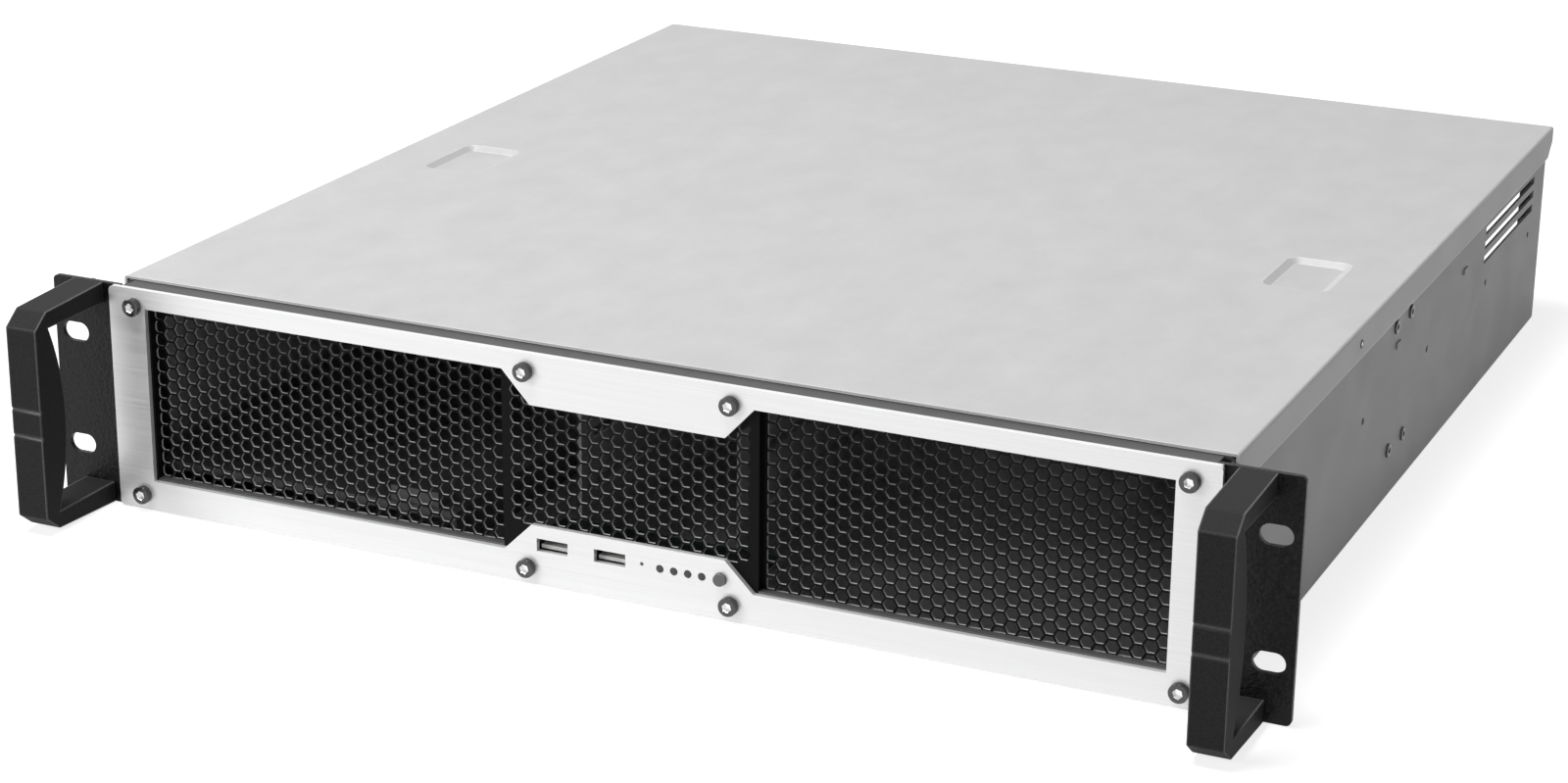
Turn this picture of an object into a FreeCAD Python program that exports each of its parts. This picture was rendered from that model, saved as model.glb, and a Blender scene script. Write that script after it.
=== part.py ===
import FreeCAD, Part
import math
import operator
import os

import Sketcher

# Empty two-unit rackmount server case, in millimetres.
# Every piece is drawn in the rack frame: x = 0 in the middle of the case, y = 0 on the front face of the
# rack ears with +y to the rear, z = 0 under the floor. Each finished piece is then moved along y together,
# so that y = 0 ends up in the middle of the overall depth.

SIZES = {
    # rack ears
    "ear_reach": 26.5, "ear_play": 0.4, "ear_thick": 2.0, "ear_corner": 2.0, "ear_leg_depth": 28.0,
    "ear_slot_inset": 8.75, "ear_slot_rise": 44.45, "ear_slot_length": 11.5, "ear_slot_width": 7.5,
    "ear_screw_depth": 18.0, "ear_screw_inset": 20.0,
    # folded case
    "case_width": 429.6, "case_depth": 460.0, "case_height": 87.4, "case_sheet": 1.2,
    "case_fold": 1.8, "ledge_width": 9.0, "front_ledge": 22.0, "front_relief": 9.2,
    # clearances, and how far a cutting tool reaches past the face that it cuts
    "fit": 0.3, "slip": 0.2, "past": 1.0,
    # vents, holes and lanced tabs in the side walls
    "vent_start": 353.0, "vent_length": 87.0, "vent_height": 3.3, "vent_drop": 16.2, "vent_pitch": 6.2,
    "vent_rows": 3, "side_hole": 1.6, "side_hole_rise": 46.0, "side_tab_drop": 26.4,
    "side_tab_length": 6.0, "side_tab_height": 2.4, "side_tab_out": 0.7,
    # top cover
    "cover_sheet": 1.0, "cover_start": 9.5, "cover_overhang": 5.5, "cover_flange": 12.7,
    "cover_rear_flange": 8.0, "cover_corner_cut": 8.0, "cover_fold": 1.1, "cover_gap": 0.25,
    "pocket_side": 34.4, "pocket_width": 25.5, "pocket_length": 40.0, "pocket_start": 187.5,
    "pocket_sink": 1.8, "pocket_slope": 58.0, "pocket_corner": 5.0,
    "cover_screw_side": 74.8, "cover_screw_head": 3.2, "cover_screw_rise": 2.2,
    "cover_screw_shank": 1.6, "cover_screw_length": 11.0,
    # silver front plate and its opening
    "plate_play": 0.2, "plate_drop": 0.1, "plate_low": 0.5, "plate_thick": 2.0, "plate_corner": 2.0,
    "window_side": 15.6, "window_in": 49.0, "window_low": 12.1, "window_drop": 7.3,
    "bridge_half": 38.0, "bridge_lift": 10.9, "bridge_drop": 11.9, "window_margin": 1.0,
    # perforated sheet behind the plate
    "mesh_sheet": 0.8, "mesh_trim": 0.6, "mesh_step": 3.0, "mesh_bar": 0.4, "mesh_pitch": 10.3,
    "mesh_web": 1.7, "mesh_margin": 2.6,
    # socket head screws of the plate
    "bezel_screw_side": 10.6, "bezel_screw_in": 40.0, "bezel_screw_low": 6.4, "bezel_screw_drop": 6.9,
    "bezel_head": 3.5, "bezel_head_rise": 3.3, "bezel_socket": 1.7, "bezel_socket_sink": 2.2,
    "bezel_shank": 2.0, "bezel_shank_end": 3.4,
    # bow handles
    "handle_depth": 42.0, "handle_width": 13.0, "handle_inset": 22.3, "handle_arm_drop": 1.5,
    "handle_chamfer_depth": 7.0, "handle_chamfer_rise": 5.5, "handle_arm": 8.0, "handle_grip": 8.0,
    "handle_belly": 7.0, "handle_groove": 5.1, "handle_groove_width": 1.2, "handle_groove_sink": 0.5,
    "handle_groove_top": 0.36, "handle_groove_foot": 0.12,
    "handle_screw": 2.0, "handle_screw_head": 3.4, "handle_screw_rise": 1.4, "handle_screw_length": 9.0,
    # front connectors, lamps and buttons
    "usb_left": -29.75, "usb_right": -6.8, "usb_rise": 15.75, "usb_width": 12.4, "usb_height": 4.8,
    "usb_shell": 0.6, "usb_depth": 14.0, "usb_tongue": 1.8, "usb_tongue_width": 10.6,
    "usb_tongue_lift": 0.4, "usb_tongue_inset": 1.0, "usb_back": 2.0,
    "lamp_first": 13.0, "lamp_pitch": 5.43, "lamp_rise": 15.3, "lamp_radius": 1.3, "lamp_count": 4,
    "lamp_out": 0.3, "lamp_base": 3.6,
    "power_place": 36.5, "power_rise": 15.7, "power_radius": 2.25, "power_out": 1.6, "power_travel": 1.2,
    "power_stem": 1.24,
    "reset_place": 5.9, "reset_rise": 15.9, "reset_pinhole": 0.7, "reset_radius": 1.1,
    "reset_setback": 2.0, "reset_travel": 0.6, "reset_collar": 1.65, "reset_collar_length": 1.2,
    "switch_width": 7.0, "switch_setback": 7.0, "switch_back": 3.0,
    "board_thick": 1.6, "board_half": 43.0, "board_start": 1.5, "board_depth": 30.0,
    "post_radius": 2.5, "post_bore": 1.25, "post_setback": 18.6,
    "io_gap_half": 41.0, "io_gap_low": 10.8, "io_gap_high": 20.4,
    # drive tray behind the left window
    "tray_side": 9.8, "tray_in": 75.0, "tray_start": 8.0, "tray_depth": 150.0, "tray_rise": 17.2,
    "tray_lip": 3.2, "tray_sheet": 1.2, "tray_foot": 12.0, "tray_hole": 2.0,
    "tray_hole_start": 30.0, "tray_hole_pitch": 45.0, "tray_hole_spread": 28.6, "tray_slot": 8.0,
    "stop_width": 20.0, "stop_inset": 8.0, "stop_rise": 6.0,
    # folded dividers beside the middle bay
    "divider_left": -37.2, "divider_right": 25.2, "divider_sheet": 1.2, "divider_start": 34.0,
    "divider_depth": 124.0, "divider_rise": 56.0, "divider_foot": 10.0, "divider_slot": 4.2,
    "divider_slot_step": 20.16,
    # rear panel
    "psu_side": 9.8, "psu_width": 93.0, "psu_low": 5.0, "psu_drop": 12.4,
    "io_gap": 4.25, "io_width": 158.75, "io_low": 7.1, "io_height": 44.45,
    "card_gap": 15.0, "card_side": 12.0, "card_pitch": 20.32, "card_window": 13.0, "card_low": 10.0,
    "card_drop": 12.8, "card_cover_width": 18.4, "card_cover_thick": 0.9, "card_cover_low": 4.0,
    "card_cover_drop": 6.8, "card_screw_drop": 9.4, "small_head": 2.75, "small_head_rise": 1.8,
    "small_shank": 1.5, "small_screw_length": 6.0,
    "exhaust_share": 0.264, "exhaust_drop": 11.4, "exhaust_slot": 5.0, "exhaust_pitch": 9.6,
    "rear_ledge": 16.0, "rear_tab": 14.0,
    # power supply bracket
    "brace_gap": 2.0, "brace_start": 206.0, "brace_depth": 32.0, "brace_low": 12.0, "brace_drop": 9.4,
    "brace_sheet": 1.2, "brace_margin": 9.6, "brace_hole_low": 20.9, "brace_hole_drop": 7.6,
    "brace_hole_inset": 5.5,
    # main board standoffs
    "stand_rise": 6.5, "stand_radius": 2.9, "stand_bore": 1.35, "stand_floor": 1.0, "stand_gap": 6.1,
    "stand_rear_inset": 12.16, "stand_column": 157.48, "stand_column_far": 281.94,
    "stand_row_corner": 22.86, "stand_row": 154.94, "stand_row_front": 227.33,
}

OPERATIONS = {"+": operator.add, "-": operator.sub, "*": operator.mul, "/": operator.truediv}

doc = FreeCAD.newDocument("server_case")
dims = doc.addObject("Spreadsheet::Sheet", "dims")
for row, (alias, number) in enumerate(SIZES.items(), 1):
    dims.set("A%d" % row, alias)
    dims.set("B%d" % row, str(number))
    dims.setAlias("B%d" % row, alias)
doc.recompute()


class Size:
    """A length as a number and as the formula that ties it to the sheet."""

    def __init__(self, number, formula):
        self.number = number
        self.formula = formula

    def join(self, sign, other, swap=False):
        other = other if isinstance(other, Size) else Size(float(other), "%.6f" % other)
        first, second = (other, self) if swap else (self, other)
        number = OPERATIONS[sign](first.number, second.number)
        return Size(number, "(%s %s %s)" % (first.formula, sign, second.formula))

    def __add__(self, other):
        return self.join("+", other)

    def __radd__(self, other):
        return self.join("+", other, True)

    def __sub__(self, other):
        return self.join("-", other)

    def __rsub__(self, other):
        return self.join("-", other, True)

    def __mul__(self, other):
        return self.join("*", other)

    def __rmul__(self, other):
        return self.join("*", other, True)

    def __truediv__(self, other):
        return self.join("/", other)

    def __neg__(self):
        return self.join("*", -1)


class Sheet:
    """Gives each cell of the sheet by its name."""

    def __getattr__(self, alias):
        return Size(float(dims.get(alias)), "dims." + alias)


d = Sheet()
nodes = {}

# Places along the side walls, as shares of the case's depth
RAIL_HOLE_SHARES = (0.371, 0.572, 0.78, 0.946)
TAB_SHARES = (0.469, 0.694)

# The four standoffs whose round bores carry the board's mount
MOUNT_STANDS = (3, 5, 6, 8)

# Places that several pieces share
zero = Size(0.0, "0")
half = d.case_width / 2
inner = half - d.case_sheet
wall_top = d.case_height - d.cover_sheet - d.cover_gap
ledge_low = wall_top - d.case_sheet
ear_height = d.case_height - d.ear_play
ear_mid = ear_height / 2
ear_half = half + d.ear_reach
ear_inner = inner - d.ear_thick
front_half = ear_inner - d.fit
rear_face = d.case_depth - d.case_sheet
plate_back = -d.mesh_sheet
plate_front = plate_back - d.plate_thick
plate_half = half - d.plate_play
plate_top = d.case_height - d.plate_drop
window_out = plate_half - d.window_side
window_high = plate_top - d.window_drop
bridge_low = d.window_low + d.bridge_lift
bridge_high = window_high - d.bridge_drop
cover_half = half + d.slip + d.cover_sheet
cover_rear = d.case_depth + d.cover_overhang
rack_shift = (d.handle_depth - cover_rear - d.cover_screw_rise) / 2
board_top = d.usb_rise - d.usb_height / 2 - d.usb_shell
board_low = board_top - d.board_thick
psu_start = half - d.psu_side - d.psu_width
psu_high = d.case_height - d.psu_drop
io_start = psu_start - d.io_gap - d.io_width
io_high = d.io_low + d.io_height
brace_in = psu_start - d.brace_gap
brace_high = d.case_height - d.brace_drop
card_screw_rise = d.case_height - d.card_screw_drop

# A quarter turn in degrees, and the turn that brings each axis up from z
QUARTER = 90
AXES = {"x": FreeCAD.Vector(0, QUARTER, 0), "y": FreeCAD.Vector(-QUARTER, 0, 0),
        "z": FreeCAD.Vector(0, 0, 0)}

# A tool that goes right through a sheet is this many times as long as the sheet is thick
THROUGH = 3


def bind(obj, prop, size):
    """Sets a property by number and ties it to the sheet."""
    obj.setExpression(prop, size.formula if isinstance(size, Size) else "%.6f" % size)


def place(obj, x, y, z):
    for axis, size in zip("xyz", (x, y, z)):
        bind(obj, "Placement.Base." + axis, size)


def block(name, x, y, z):
    """A box from its low and high place along each axis."""
    obj = doc.addObject("Part::Box", name)
    for prop, (low, high) in zip(("Length", "Width", "Height"), (x, y, z)):
        bind(obj, prop, high - low)
    place(obj, x[0], y[0], z[0])
    return obj


def turn_to(obj, axis):
    angles = AXES[axis]
    obj.Placement.Rotation = (FreeCAD.Rotation(FreeCAD.Vector(1, 0, 0), angles.x)
                              * FreeCAD.Rotation(FreeCAD.Vector(0, 1, 0), angles.y))


def rod(name, axis, radius, length, x, y, z):
    """A cylinder that starts at x, y, z and runs along an axis."""
    obj = doc.addObject("Part::Cylinder", name)
    bind(obj, "Radius", radius)
    bind(obj, "Height", length)
    turn_to(obj, axis)
    place(obj, x, y, z)
    return obj


def peg(name, axis, radius, length, x, y, z, sides=6):
    """A small turned form or bore, drawn with few sides."""
    obj = doc.addObject("Part::Prism", name)
    obj.Polygon = sides
    bind(obj, "Circumradius", radius)
    bind(obj, "Height", length)
    turn_to(obj, axis)
    place(obj, x, y, z)
    return obj


def fuse(name, pieces):
    obj = doc.addObject("Part::MultiFuse", name)
    obj.Shapes = pieces
    obj.Refine = True
    return obj


def gather(name, pieces):
    obj = doc.addObject("Part::Compound", name)
    obj.Links = pieces
    return obj


def cut(name, base, tools):
    obj = doc.addObject("Part::Cut", name)
    obj.Base = base
    obj.Tool = tools[0] if len(tools) == 1 else gather(name + "_tools", tools)
    return obj


def finish(label, obj):
    """Names a finished piece and moves it from the rack frame to the frame of the whole case."""
    obj.Label = label
    bind(obj, "Placement.Base.y", rack_shift)
    nodes[label] = obj
    return obj


def bodied(name):
    return doc.addObject("PartDesign::Body", name)


def origin_plane(body, role):
    return next(f for f in body.Origin.OriginFeatures if f.Role == role)


def sketch(body, name, role, lift):
    """An empty sketch on an origin plane of its own body, lifted along the plane's normal."""
    obj = body.newObject("Sketcher::SketchObject", name)
    obj.AttachmentSupport = [(origin_plane(body, role), "")]
    obj.MapMode = "FlatFace"
    bind(obj, "AttachmentOffset.Base.z", lift)
    return obj


def tie_point(obj, geometry, corner, u, v):
    """Holds a point of a sketch at u, v from the origin."""
    for kind, line, size in (("DistanceX", -2, u), ("DistanceY", -1, v)):
        if abs(size.number) < 1e-9:
            obj.addConstraint(Sketcher.Constraint("PointOnObject", geometry, corner, line))
            continue
        index = obj.addConstraint(Sketcher.Constraint(kind, -1, 1, geometry, corner, size.number))
        bind(obj, "Constraints[%d]" % index, size)


def outline(obj, points):
    """Draws a closed outline of straight lines whose corners are tied to the sheet."""
    first = obj.GeometryCount
    vectors = [FreeCAD.Vector(u.number, v.number, 0) for u, v in points]
    for start, end in zip(vectors, vectors[1:] + vectors[:1]):
        obj.addGeometry(Part.LineSegment(start, end), False)
    last = first + len(points) - 1
    for index in range(first, last + 1):
        follower = first if index == last else index + 1
        obj.addConstraint(Sketcher.Constraint("Coincident", index, 2, follower, 1))
    for index, (u, v) in enumerate(points):
        tie_point(obj, first + index, 1, u, v)


def soft_rectangle(obj, u, v, radius):
    """Draws a rectangle with round corners, tied to the sheet."""
    (left, right), (low, high) = u, v
    ends = [((left + radius, low), (right - radius, low)), ((right, low + radius), (right, high - radius)),
            ((right - radius, high), (left + radius, high)), ((left, high - radius), (left, low + radius))]
    centres = [(right - radius, low + radius), (right - radius, high - radius),
               (left + radius, high - radius), (left + radius, low + radius)]
    lines = []
    for start, end in ends:
        segment = Part.LineSegment(*(FreeCAD.Vector(a.number, b.number, 0) for a, b in (start, end)))
        lines.append(obj.addGeometry(segment, False))
    for line, (start, end) in zip(lines, ends):
        tie_point(obj, line, 1, *start)
        tie_point(obj, line, 2, *end)
    for index, (a, b) in enumerate(centres):
        circle = Part.Circle(FreeCAD.Vector(a.number, b.number, 0), FreeCAD.Vector(0, 0, 1), radius.number)
        turn = math.radians(QUARTER * (index - 1))
        arc = obj.addGeometry(Part.ArcOfCircle(circle, turn, turn + math.radians(QUARTER)), False)
        obj.addConstraint(Sketcher.Constraint("Coincident", lines[index], 2, arc, 1))
        obj.addConstraint(Sketcher.Constraint("Coincident", arc, 2, lines[(index + 1) % 4], 1))
        held = obj.addConstraint(Sketcher.Constraint("Radius", arc, radius.number))
        bind(obj, "Constraints[%d]" % held, radius)


def circles(obj, centres, radius):
    for u, v in centres:
        geometry = obj.addGeometry(
            Part.Circle(FreeCAD.Vector(u.number, v.number, 0), FreeCAD.Vector(0, 0, 1), radius.number), False)
        index = obj.addConstraint(Sketcher.Constraint("Radius", geometry, radius.number))
        bind(obj, "Constraints[%d]" % index, radius)
        tie_point(obj, geometry, 3, u, v)


def pad(body, name, profile, length, reverse=False, taper=None):
    obj = body.newObject("PartDesign::Pad", name)
    obj.Profile = profile
    obj.Reversed = reverse
    bind(obj, "Length", length)
    if taper is not None:
        bind(obj, "TaperAngle", taper)
    doc.recompute()
    return obj


def pocket(body, name, profile, length, reverse=False, taper=None):
    before = body.Shape.Volume
    obj = body.newObject("PartDesign::Pocket", name)
    obj.Profile = profile
    obj.Reversed = reverse
    bind(obj, "Length", length)
    if taper is not None:
        bind(obj, "TaperAngle", taper)
    doc.recompute()
    assert body.Shape.Volume < before - 1e-6, name + " cuts nothing"
    return obj


def edges_where(feature, chosen):
    """Names of the edges that a test of their two ends picks."""
    names = []
    for index, edge in enumerate(feature.Shape.Edges, 1):
        if len(edge.Vertexes) == 2 and chosen(edge.Vertexes[0].Point, edge.Vertexes[1].Point):
            names.append("Edge%d" % index)
    return names


def rounded(body, name, feature, radius, chosen):
    obj = body.newObject("PartDesign::Fillet", name)
    obj.Base = (feature, edges_where(feature, chosen))
    bind(obj, "Radius", radius)
    doc.recompute()
    return obj


def in_order(first, second):
    """Two sizes with the smaller one first."""
    return sorted((first, second), key=lambda size: size.number)


def near(value, target):
    return abs(value - target) < 1e-4


def rectangle(u, v):
    return [(u[0], v[0]), (u[1], v[0]), (u[1], v[1]), (u[0], v[1])]


def mirrored(right):
    """An outline from its right half, in order, with the left half added."""
    return right + [(-u, v) for u, v in reversed(right)]


def plate_window():
    """The dumbbell opening of the front plate."""
    return mirrored([(d.bridge_half, bridge_low), (d.window_in, d.window_low), (window_out, d.window_low),
                     (window_out, window_high), (d.window_in, window_high),
                     (d.bridge_half, bridge_high)])


def wall_window():
    """The opening of the case's front wall, a margin larger and straight along its foot."""
    out, high = window_out + d.window_margin, window_high + d.window_margin
    edge, bridge = d.window_in - d.window_margin / 2, d.bridge_half - d.window_margin / 2
    low = d.window_low - d.window_margin
    return mirrored([(out, low), (out, high), (edge, high), (bridge, bridge_high + d.window_margin)])


# Screw places on the front plate
bezel_places = [(side * across, rise)
                for side in (-1, 1)
                for across in (plate_half - d.bezel_screw_side, d.bezel_screw_in)
                for rise in (d.bezel_screw_low, plate_top - d.bezel_screw_drop)]
usb_places = {"left": d.usb_left, "right": d.usb_right}
lamp_places = [d.lamp_first + d.lamp_pitch * index for index in range(int(d.lamp_count.number))]


def chassis_base():
    """Floor, side walls, top ledges and front wall folded from one sheet."""
    body = bodied("chassis_shell")
    profile = sketch(body, "chassis_profile", "XZ_Plane", zero)
    lip = half - d.ledge_width - d.case_sheet
    outline(profile, mirrored([(half, zero), (half, wall_top), (lip, wall_top), (lip, ledge_low),
                               (inner, ledge_low), (inner, d.case_sheet)]))
    shell = pad(body, "chassis_pad", profile, d.case_depth, reverse=True)
    outer = half.number
    rounded(body, "chassis_folds", shell, d.case_fold,
            lambda a, b: near(abs(a.x), outer) and near(a.x, b.x) and near(a.z, b.z))
    front = block("front_wall", (-front_half, front_half), (zero, d.case_sheet), (zero, wall_top))
    ledge = block("front_ledge_sheet", (-front_half, front_half), (zero, d.front_ledge),
                  (ledge_low, wall_top))
    solid = fuse("chassis_sheets", [body, front, ledge] + lanced_tabs())

    opening = bodied("front_window")
    hole = sketch(opening, "front_window_outline", "XZ_Plane", d.case_sheet)
    outline(hole, wall_window())
    pad(opening, "front_window_pad", hole, d.case_sheet * THROUGH, reverse=True)
    tools = [opening]
    for index, (across, rise) in enumerate(bezel_places):
        tools.append(peg("chassis_bezel_%d" % index, "y", d.bezel_shank + d.slip, d.case_sheet * THROUGH,
                         across, -d.case_sheet, rise))
    for side in (-1, 1):
        word = "left" if side < 0 else "right"
        lane = in_order(side * front_half, side * (half + d.past))
        step = in_order(side * (front_half - d.slip), side * (half + d.past))
        tools.append(block("ear_notch_" + word, lane, (-d.case_sheet, d.ear_thick + d.fit),
                           (-d.case_sheet, d.case_height)))
        tools.append(block("corner_relief_" + word, step, (-d.case_sheet, d.front_relief),
                           (ledge_low - d.fit, d.case_height)))
        tools += side_wall_holes(word, side)
    return finish("chassis_base", cut("chassis_base", solid, tools))


def through_wall(name, side, radius, y, z):
    """A round tool through one side wall."""
    start = in_order(side * (inner - d.past), side * (half + d.past))[0]
    return peg(name, "x", radius, d.case_sheet + d.past * 2, start, y, z)


def side_wall_holes(word, side):
    wall = in_order(side * (inner - d.past), side * (half + d.past))
    tools = []
    for index in range(int(d.vent_rows.number)):
        top = d.case_height - d.vent_drop - d.vent_pitch * index
        tools.append(block("vent_%s_%d" % (word, index), wall,
                           (d.vent_start, d.vent_start + d.vent_length), (top - d.vent_height, top)))
    for index, share in enumerate(RAIL_HOLE_SHARES):
        tools.append(through_wall("rail_hole_%s_%d" % (word, index), side, d.side_hole,
                                  d.case_depth * share, d.side_hole_rise))
    for index, rise in enumerate(ear_screw_rises()):
        tools.append(through_wall("ear_hole_%s_%d" % (word, index), side, d.small_shank + d.slip,
                                  d.ear_screw_depth, rise))
    if side > 0:
        for index, (depth, rise) in enumerate(brace_screw_places()):
            tools.append(through_wall("brace_hole_%d" % index, side, d.small_shank + d.slip, depth, rise))
    return tools


def ear_screw_rises():
    return [d.ear_screw_inset, ear_height - d.ear_screw_inset]


def brace_screw_places():
    rises = (d.brace_hole_low, brace_high - d.brace_hole_drop)
    near_y = d.brace_start + d.brace_hole_inset
    far_y = d.brace_start + d.brace_depth - d.brace_hole_inset
    return [(depth, rise) for depth in (near_y, far_y) for rise in rises]


def lanced_tabs():
    """Small tabs pressed out of the side walls, two on each side."""
    tabs = []
    rise = d.case_height - d.side_tab_drop
    for side in (-1, 1):
        word = "left" if side < 0 else "right"
        span = in_order(side * half, side * (half + d.side_tab_out))
        for index, share in enumerate(TAB_SHARES):
            start = d.case_depth * share - d.side_tab_length / 2
            tabs.append(block("tab_%s_%d" % (word, index), span, (start, start + d.side_tab_length),
                              (rise, rise + d.side_tab_height)))
    return tabs


def top_cover():
    """Cover sheet with side flanges, a rear flange and two pressed finger pockets."""
    body = bodied("cover_body")
    profile = sketch(body, "cover_profile", "XZ_Plane", -d.cover_start)
    low = d.case_height - d.cover_flange
    under = d.case_height - d.cover_sheet
    inside = cover_half - d.cover_sheet
    outline(profile, mirrored([(inside, under), (inside, low), (cover_half, low), (cover_half, d.case_height)]))
    sheet = pad(body, "cover_pad", profile, cover_rear - d.cover_start, reverse=True)
    outer, top = cover_half.number, d.case_height.number
    sheet = rounded(body, "cover_folds", sheet, d.cover_fold,
                    lambda a, b: near(abs(a.x), outer) and near(a.x, b.x) and near(a.z, top)
                    and near(b.z, top))
    bump_half = d.pocket_width / 2
    for word, side in (("left", -1), ("right", 1)):
        centre = (half - d.pocket_side) * side
        reach = d.pocket_start + d.pocket_length
        press = sketch(body, "press_" + word, "XY_Plane", under)
        outline(press, rectangle((centre - bump_half - d.cover_sheet, centre + bump_half + d.cover_sheet),
                                 (d.pocket_start - d.cover_sheet, reach + d.cover_sheet)))
        pad(body, "press_pad_" + word, press, d.pocket_sink, reverse=True, taper=-d.pocket_slope)
        hollow = sketch(body, "hollow_" + word, "XY_Plane", d.case_height)
        soft_rectangle(hollow, (centre - bump_half, centre + bump_half), (d.pocket_start, reach),
                       d.pocket_corner)
        pocket(body, "hollow_pocket_" + word, hollow, d.pocket_sink, taper=-d.pocket_slope)
    tail_low = d.case_height - d.cover_rear_flange
    tail = block("cover_tail", (-(cover_half - d.cover_sheet), cover_half - d.cover_sheet),
                 (cover_rear - d.cover_sheet, cover_rear), (tail_low, d.case_height - d.cover_sheet / 2))
    solid = fuse("cover_sheets", [body, tail])
    tools = []
    for index, across in enumerate(cover_screw_places()):
        tools.append(peg("cover_hole_%d" % index, "y", d.cover_screw_shank + d.slip, d.cover_sheet * THROUGH,
                         across, cover_rear - d.cover_sheet * 2, cover_screw_rise()))
    for word, side in (("left", -1), ("right", 1)):
        corner = bodied("flange_corner_" + word)
        lift = cover_half + d.past if side > 0 else -(cover_half - d.cover_sheet - d.past / 2)
        face = sketch(corner, "flange_corner_outline_" + word, "YZ_Plane", lift)
        behind, below = cover_rear + d.past, low - d.past
        outline(face, [(behind, below), (behind, below + d.cover_corner_cut),
                       (cover_rear - d.cover_corner_cut, below)])
        pad(corner, "flange_corner_pad_" + word, face, d.cover_sheet + d.past * 1.5, reverse=True)
        tools.append(corner)
    return finish("top_cover", cut("top_cover", solid, tools))


def cover_screw_places():
    spread = half - d.cover_screw_side
    return [-spread, zero, spread]


def cover_screw_rise():
    return d.case_height - d.cover_rear_flange / 2 - d.cover_fold / 2


def screw(name, axis, sign, head, rise, shank, length, x, y, z):
    """A pan head screw; x, y, z is the middle of the face under its head, which points along the axis."""
    near_end = zero if sign > 0 else -rise
    far_end = -length if sign > 0 else zero
    shift = {"x": lambda move: (x + move, y, z), "y": lambda move: (x, y + move, z)}[axis]
    top = peg(name + "_head", axis, head, rise, *shift(near_end), 8)
    pin = peg(name + "_shank", axis, shank, length, *shift(far_end))
    return fuse(name, [top, pin])


def cover_screws():
    screws = [screw("cover_screw_%d" % index, "y", 1, d.cover_screw_head, d.cover_screw_rise,
                    d.cover_screw_shank, d.cover_screw_length, across, cover_rear, cover_screw_rise())
              for index, across in enumerate(cover_screw_places())]
    return finish("cover_screws", gather("cover_screws", screws))


def front_plate():
    """Silver plate with one dumbbell opening and the small holes under its bridge."""
    body = bodied("plate_body")
    face = sketch(body, "plate_outline", "XZ_Plane", -plate_front)
    outline(face, rectangle((-plate_half, plate_half), (d.plate_low, plate_top)))
    sheet = pad(body, "plate_pad", face, d.plate_thick, reverse=True)
    corner = plate_half.number
    rounded(body, "plate_corners", sheet, d.plate_corner,
            lambda a, b: near(a.x, b.x) and near(a.z, b.z) and near(abs(a.x), corner))
    opening = sketch(body, "plate_opening", "XZ_Plane", -plate_front)
    outline(opening, plate_window())
    pocket(body, "plate_opening_cut", opening, d.plate_thick)
    ports = sketch(body, "plate_ports", "XZ_Plane", -plate_front)
    for place_x in usb_places.values():
        outline(ports, rectangle((place_x - d.usb_width / 2, place_x + d.usb_width / 2),
                                 (d.usb_rise - d.usb_height / 2, d.usb_rise + d.usb_height / 2)))
    pocket(body, "plate_ports_cut", ports, d.plate_thick)
    holes = sketch(body, "plate_holes", "XZ_Plane", -plate_front)
    circles(holes, [(d.power_place, d.power_rise)], d.power_radius + d.slip)
    pocket(body, "plate_holes_cut", holes, d.plate_thick)
    start, length = plate_front - d.past, d.plate_thick + d.past * 2
    tools = [peg("plate_bezel_%d" % index, "y", d.bezel_shank + d.slip, length, across, start, rise)
             for index, (across, rise) in enumerate(bezel_places)]
    tools += [peg("plate_lamp_%d" % index, "y", d.lamp_radius + d.slip, length, place_x, start,
                  d.lamp_rise, 12)
              for index, place_x in enumerate(lamp_places)]
    tools.append(peg("plate_pinhole", "y", d.reset_pinhole, length, d.reset_place, start, d.reset_rise, 12))
    return finish("front_plate", cut("front_plate", body, tools))


def hexagon_wire(x, z, radius, y):
    """A hexagon that stands in the x-z plane on one of its flats."""
    turns = [math.radians(60 * step) for step in range(7)]
    return Part.makePolygon([FreeCAD.Vector(x + radius * math.cos(turn), y, z + radius * math.sin(turn))
                             for turn in turns])


def mesh_rows(x_low, x_high, z_low, z_high):
    """Centres of a honeycomb whose holes fit inside a rectangle, set out from its middle."""
    pitch = d.mesh_pitch.number
    column = pitch * math.cos(math.radians(30))
    reach_x = (x_high - x_low) / 2 - (pitch - d.mesh_web.number) / math.sqrt(3)
    reach_z = (z_high - z_low) / 2 - (pitch - d.mesh_web.number) / 2
    columns, rows = int(reach_x / column), int(reach_z / pitch) + 1
    for place_x in range(-columns, columns + 1):
        shift = pitch / 2 if place_x % 2 else 0.0
        for place_z in range(-rows, rows + 1):
            z = place_z * pitch + shift
            if abs(z) <= reach_z:
                yield (x_low + x_high) / 2 + place_x * column, (z_low + z_high) / 2 + z


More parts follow.
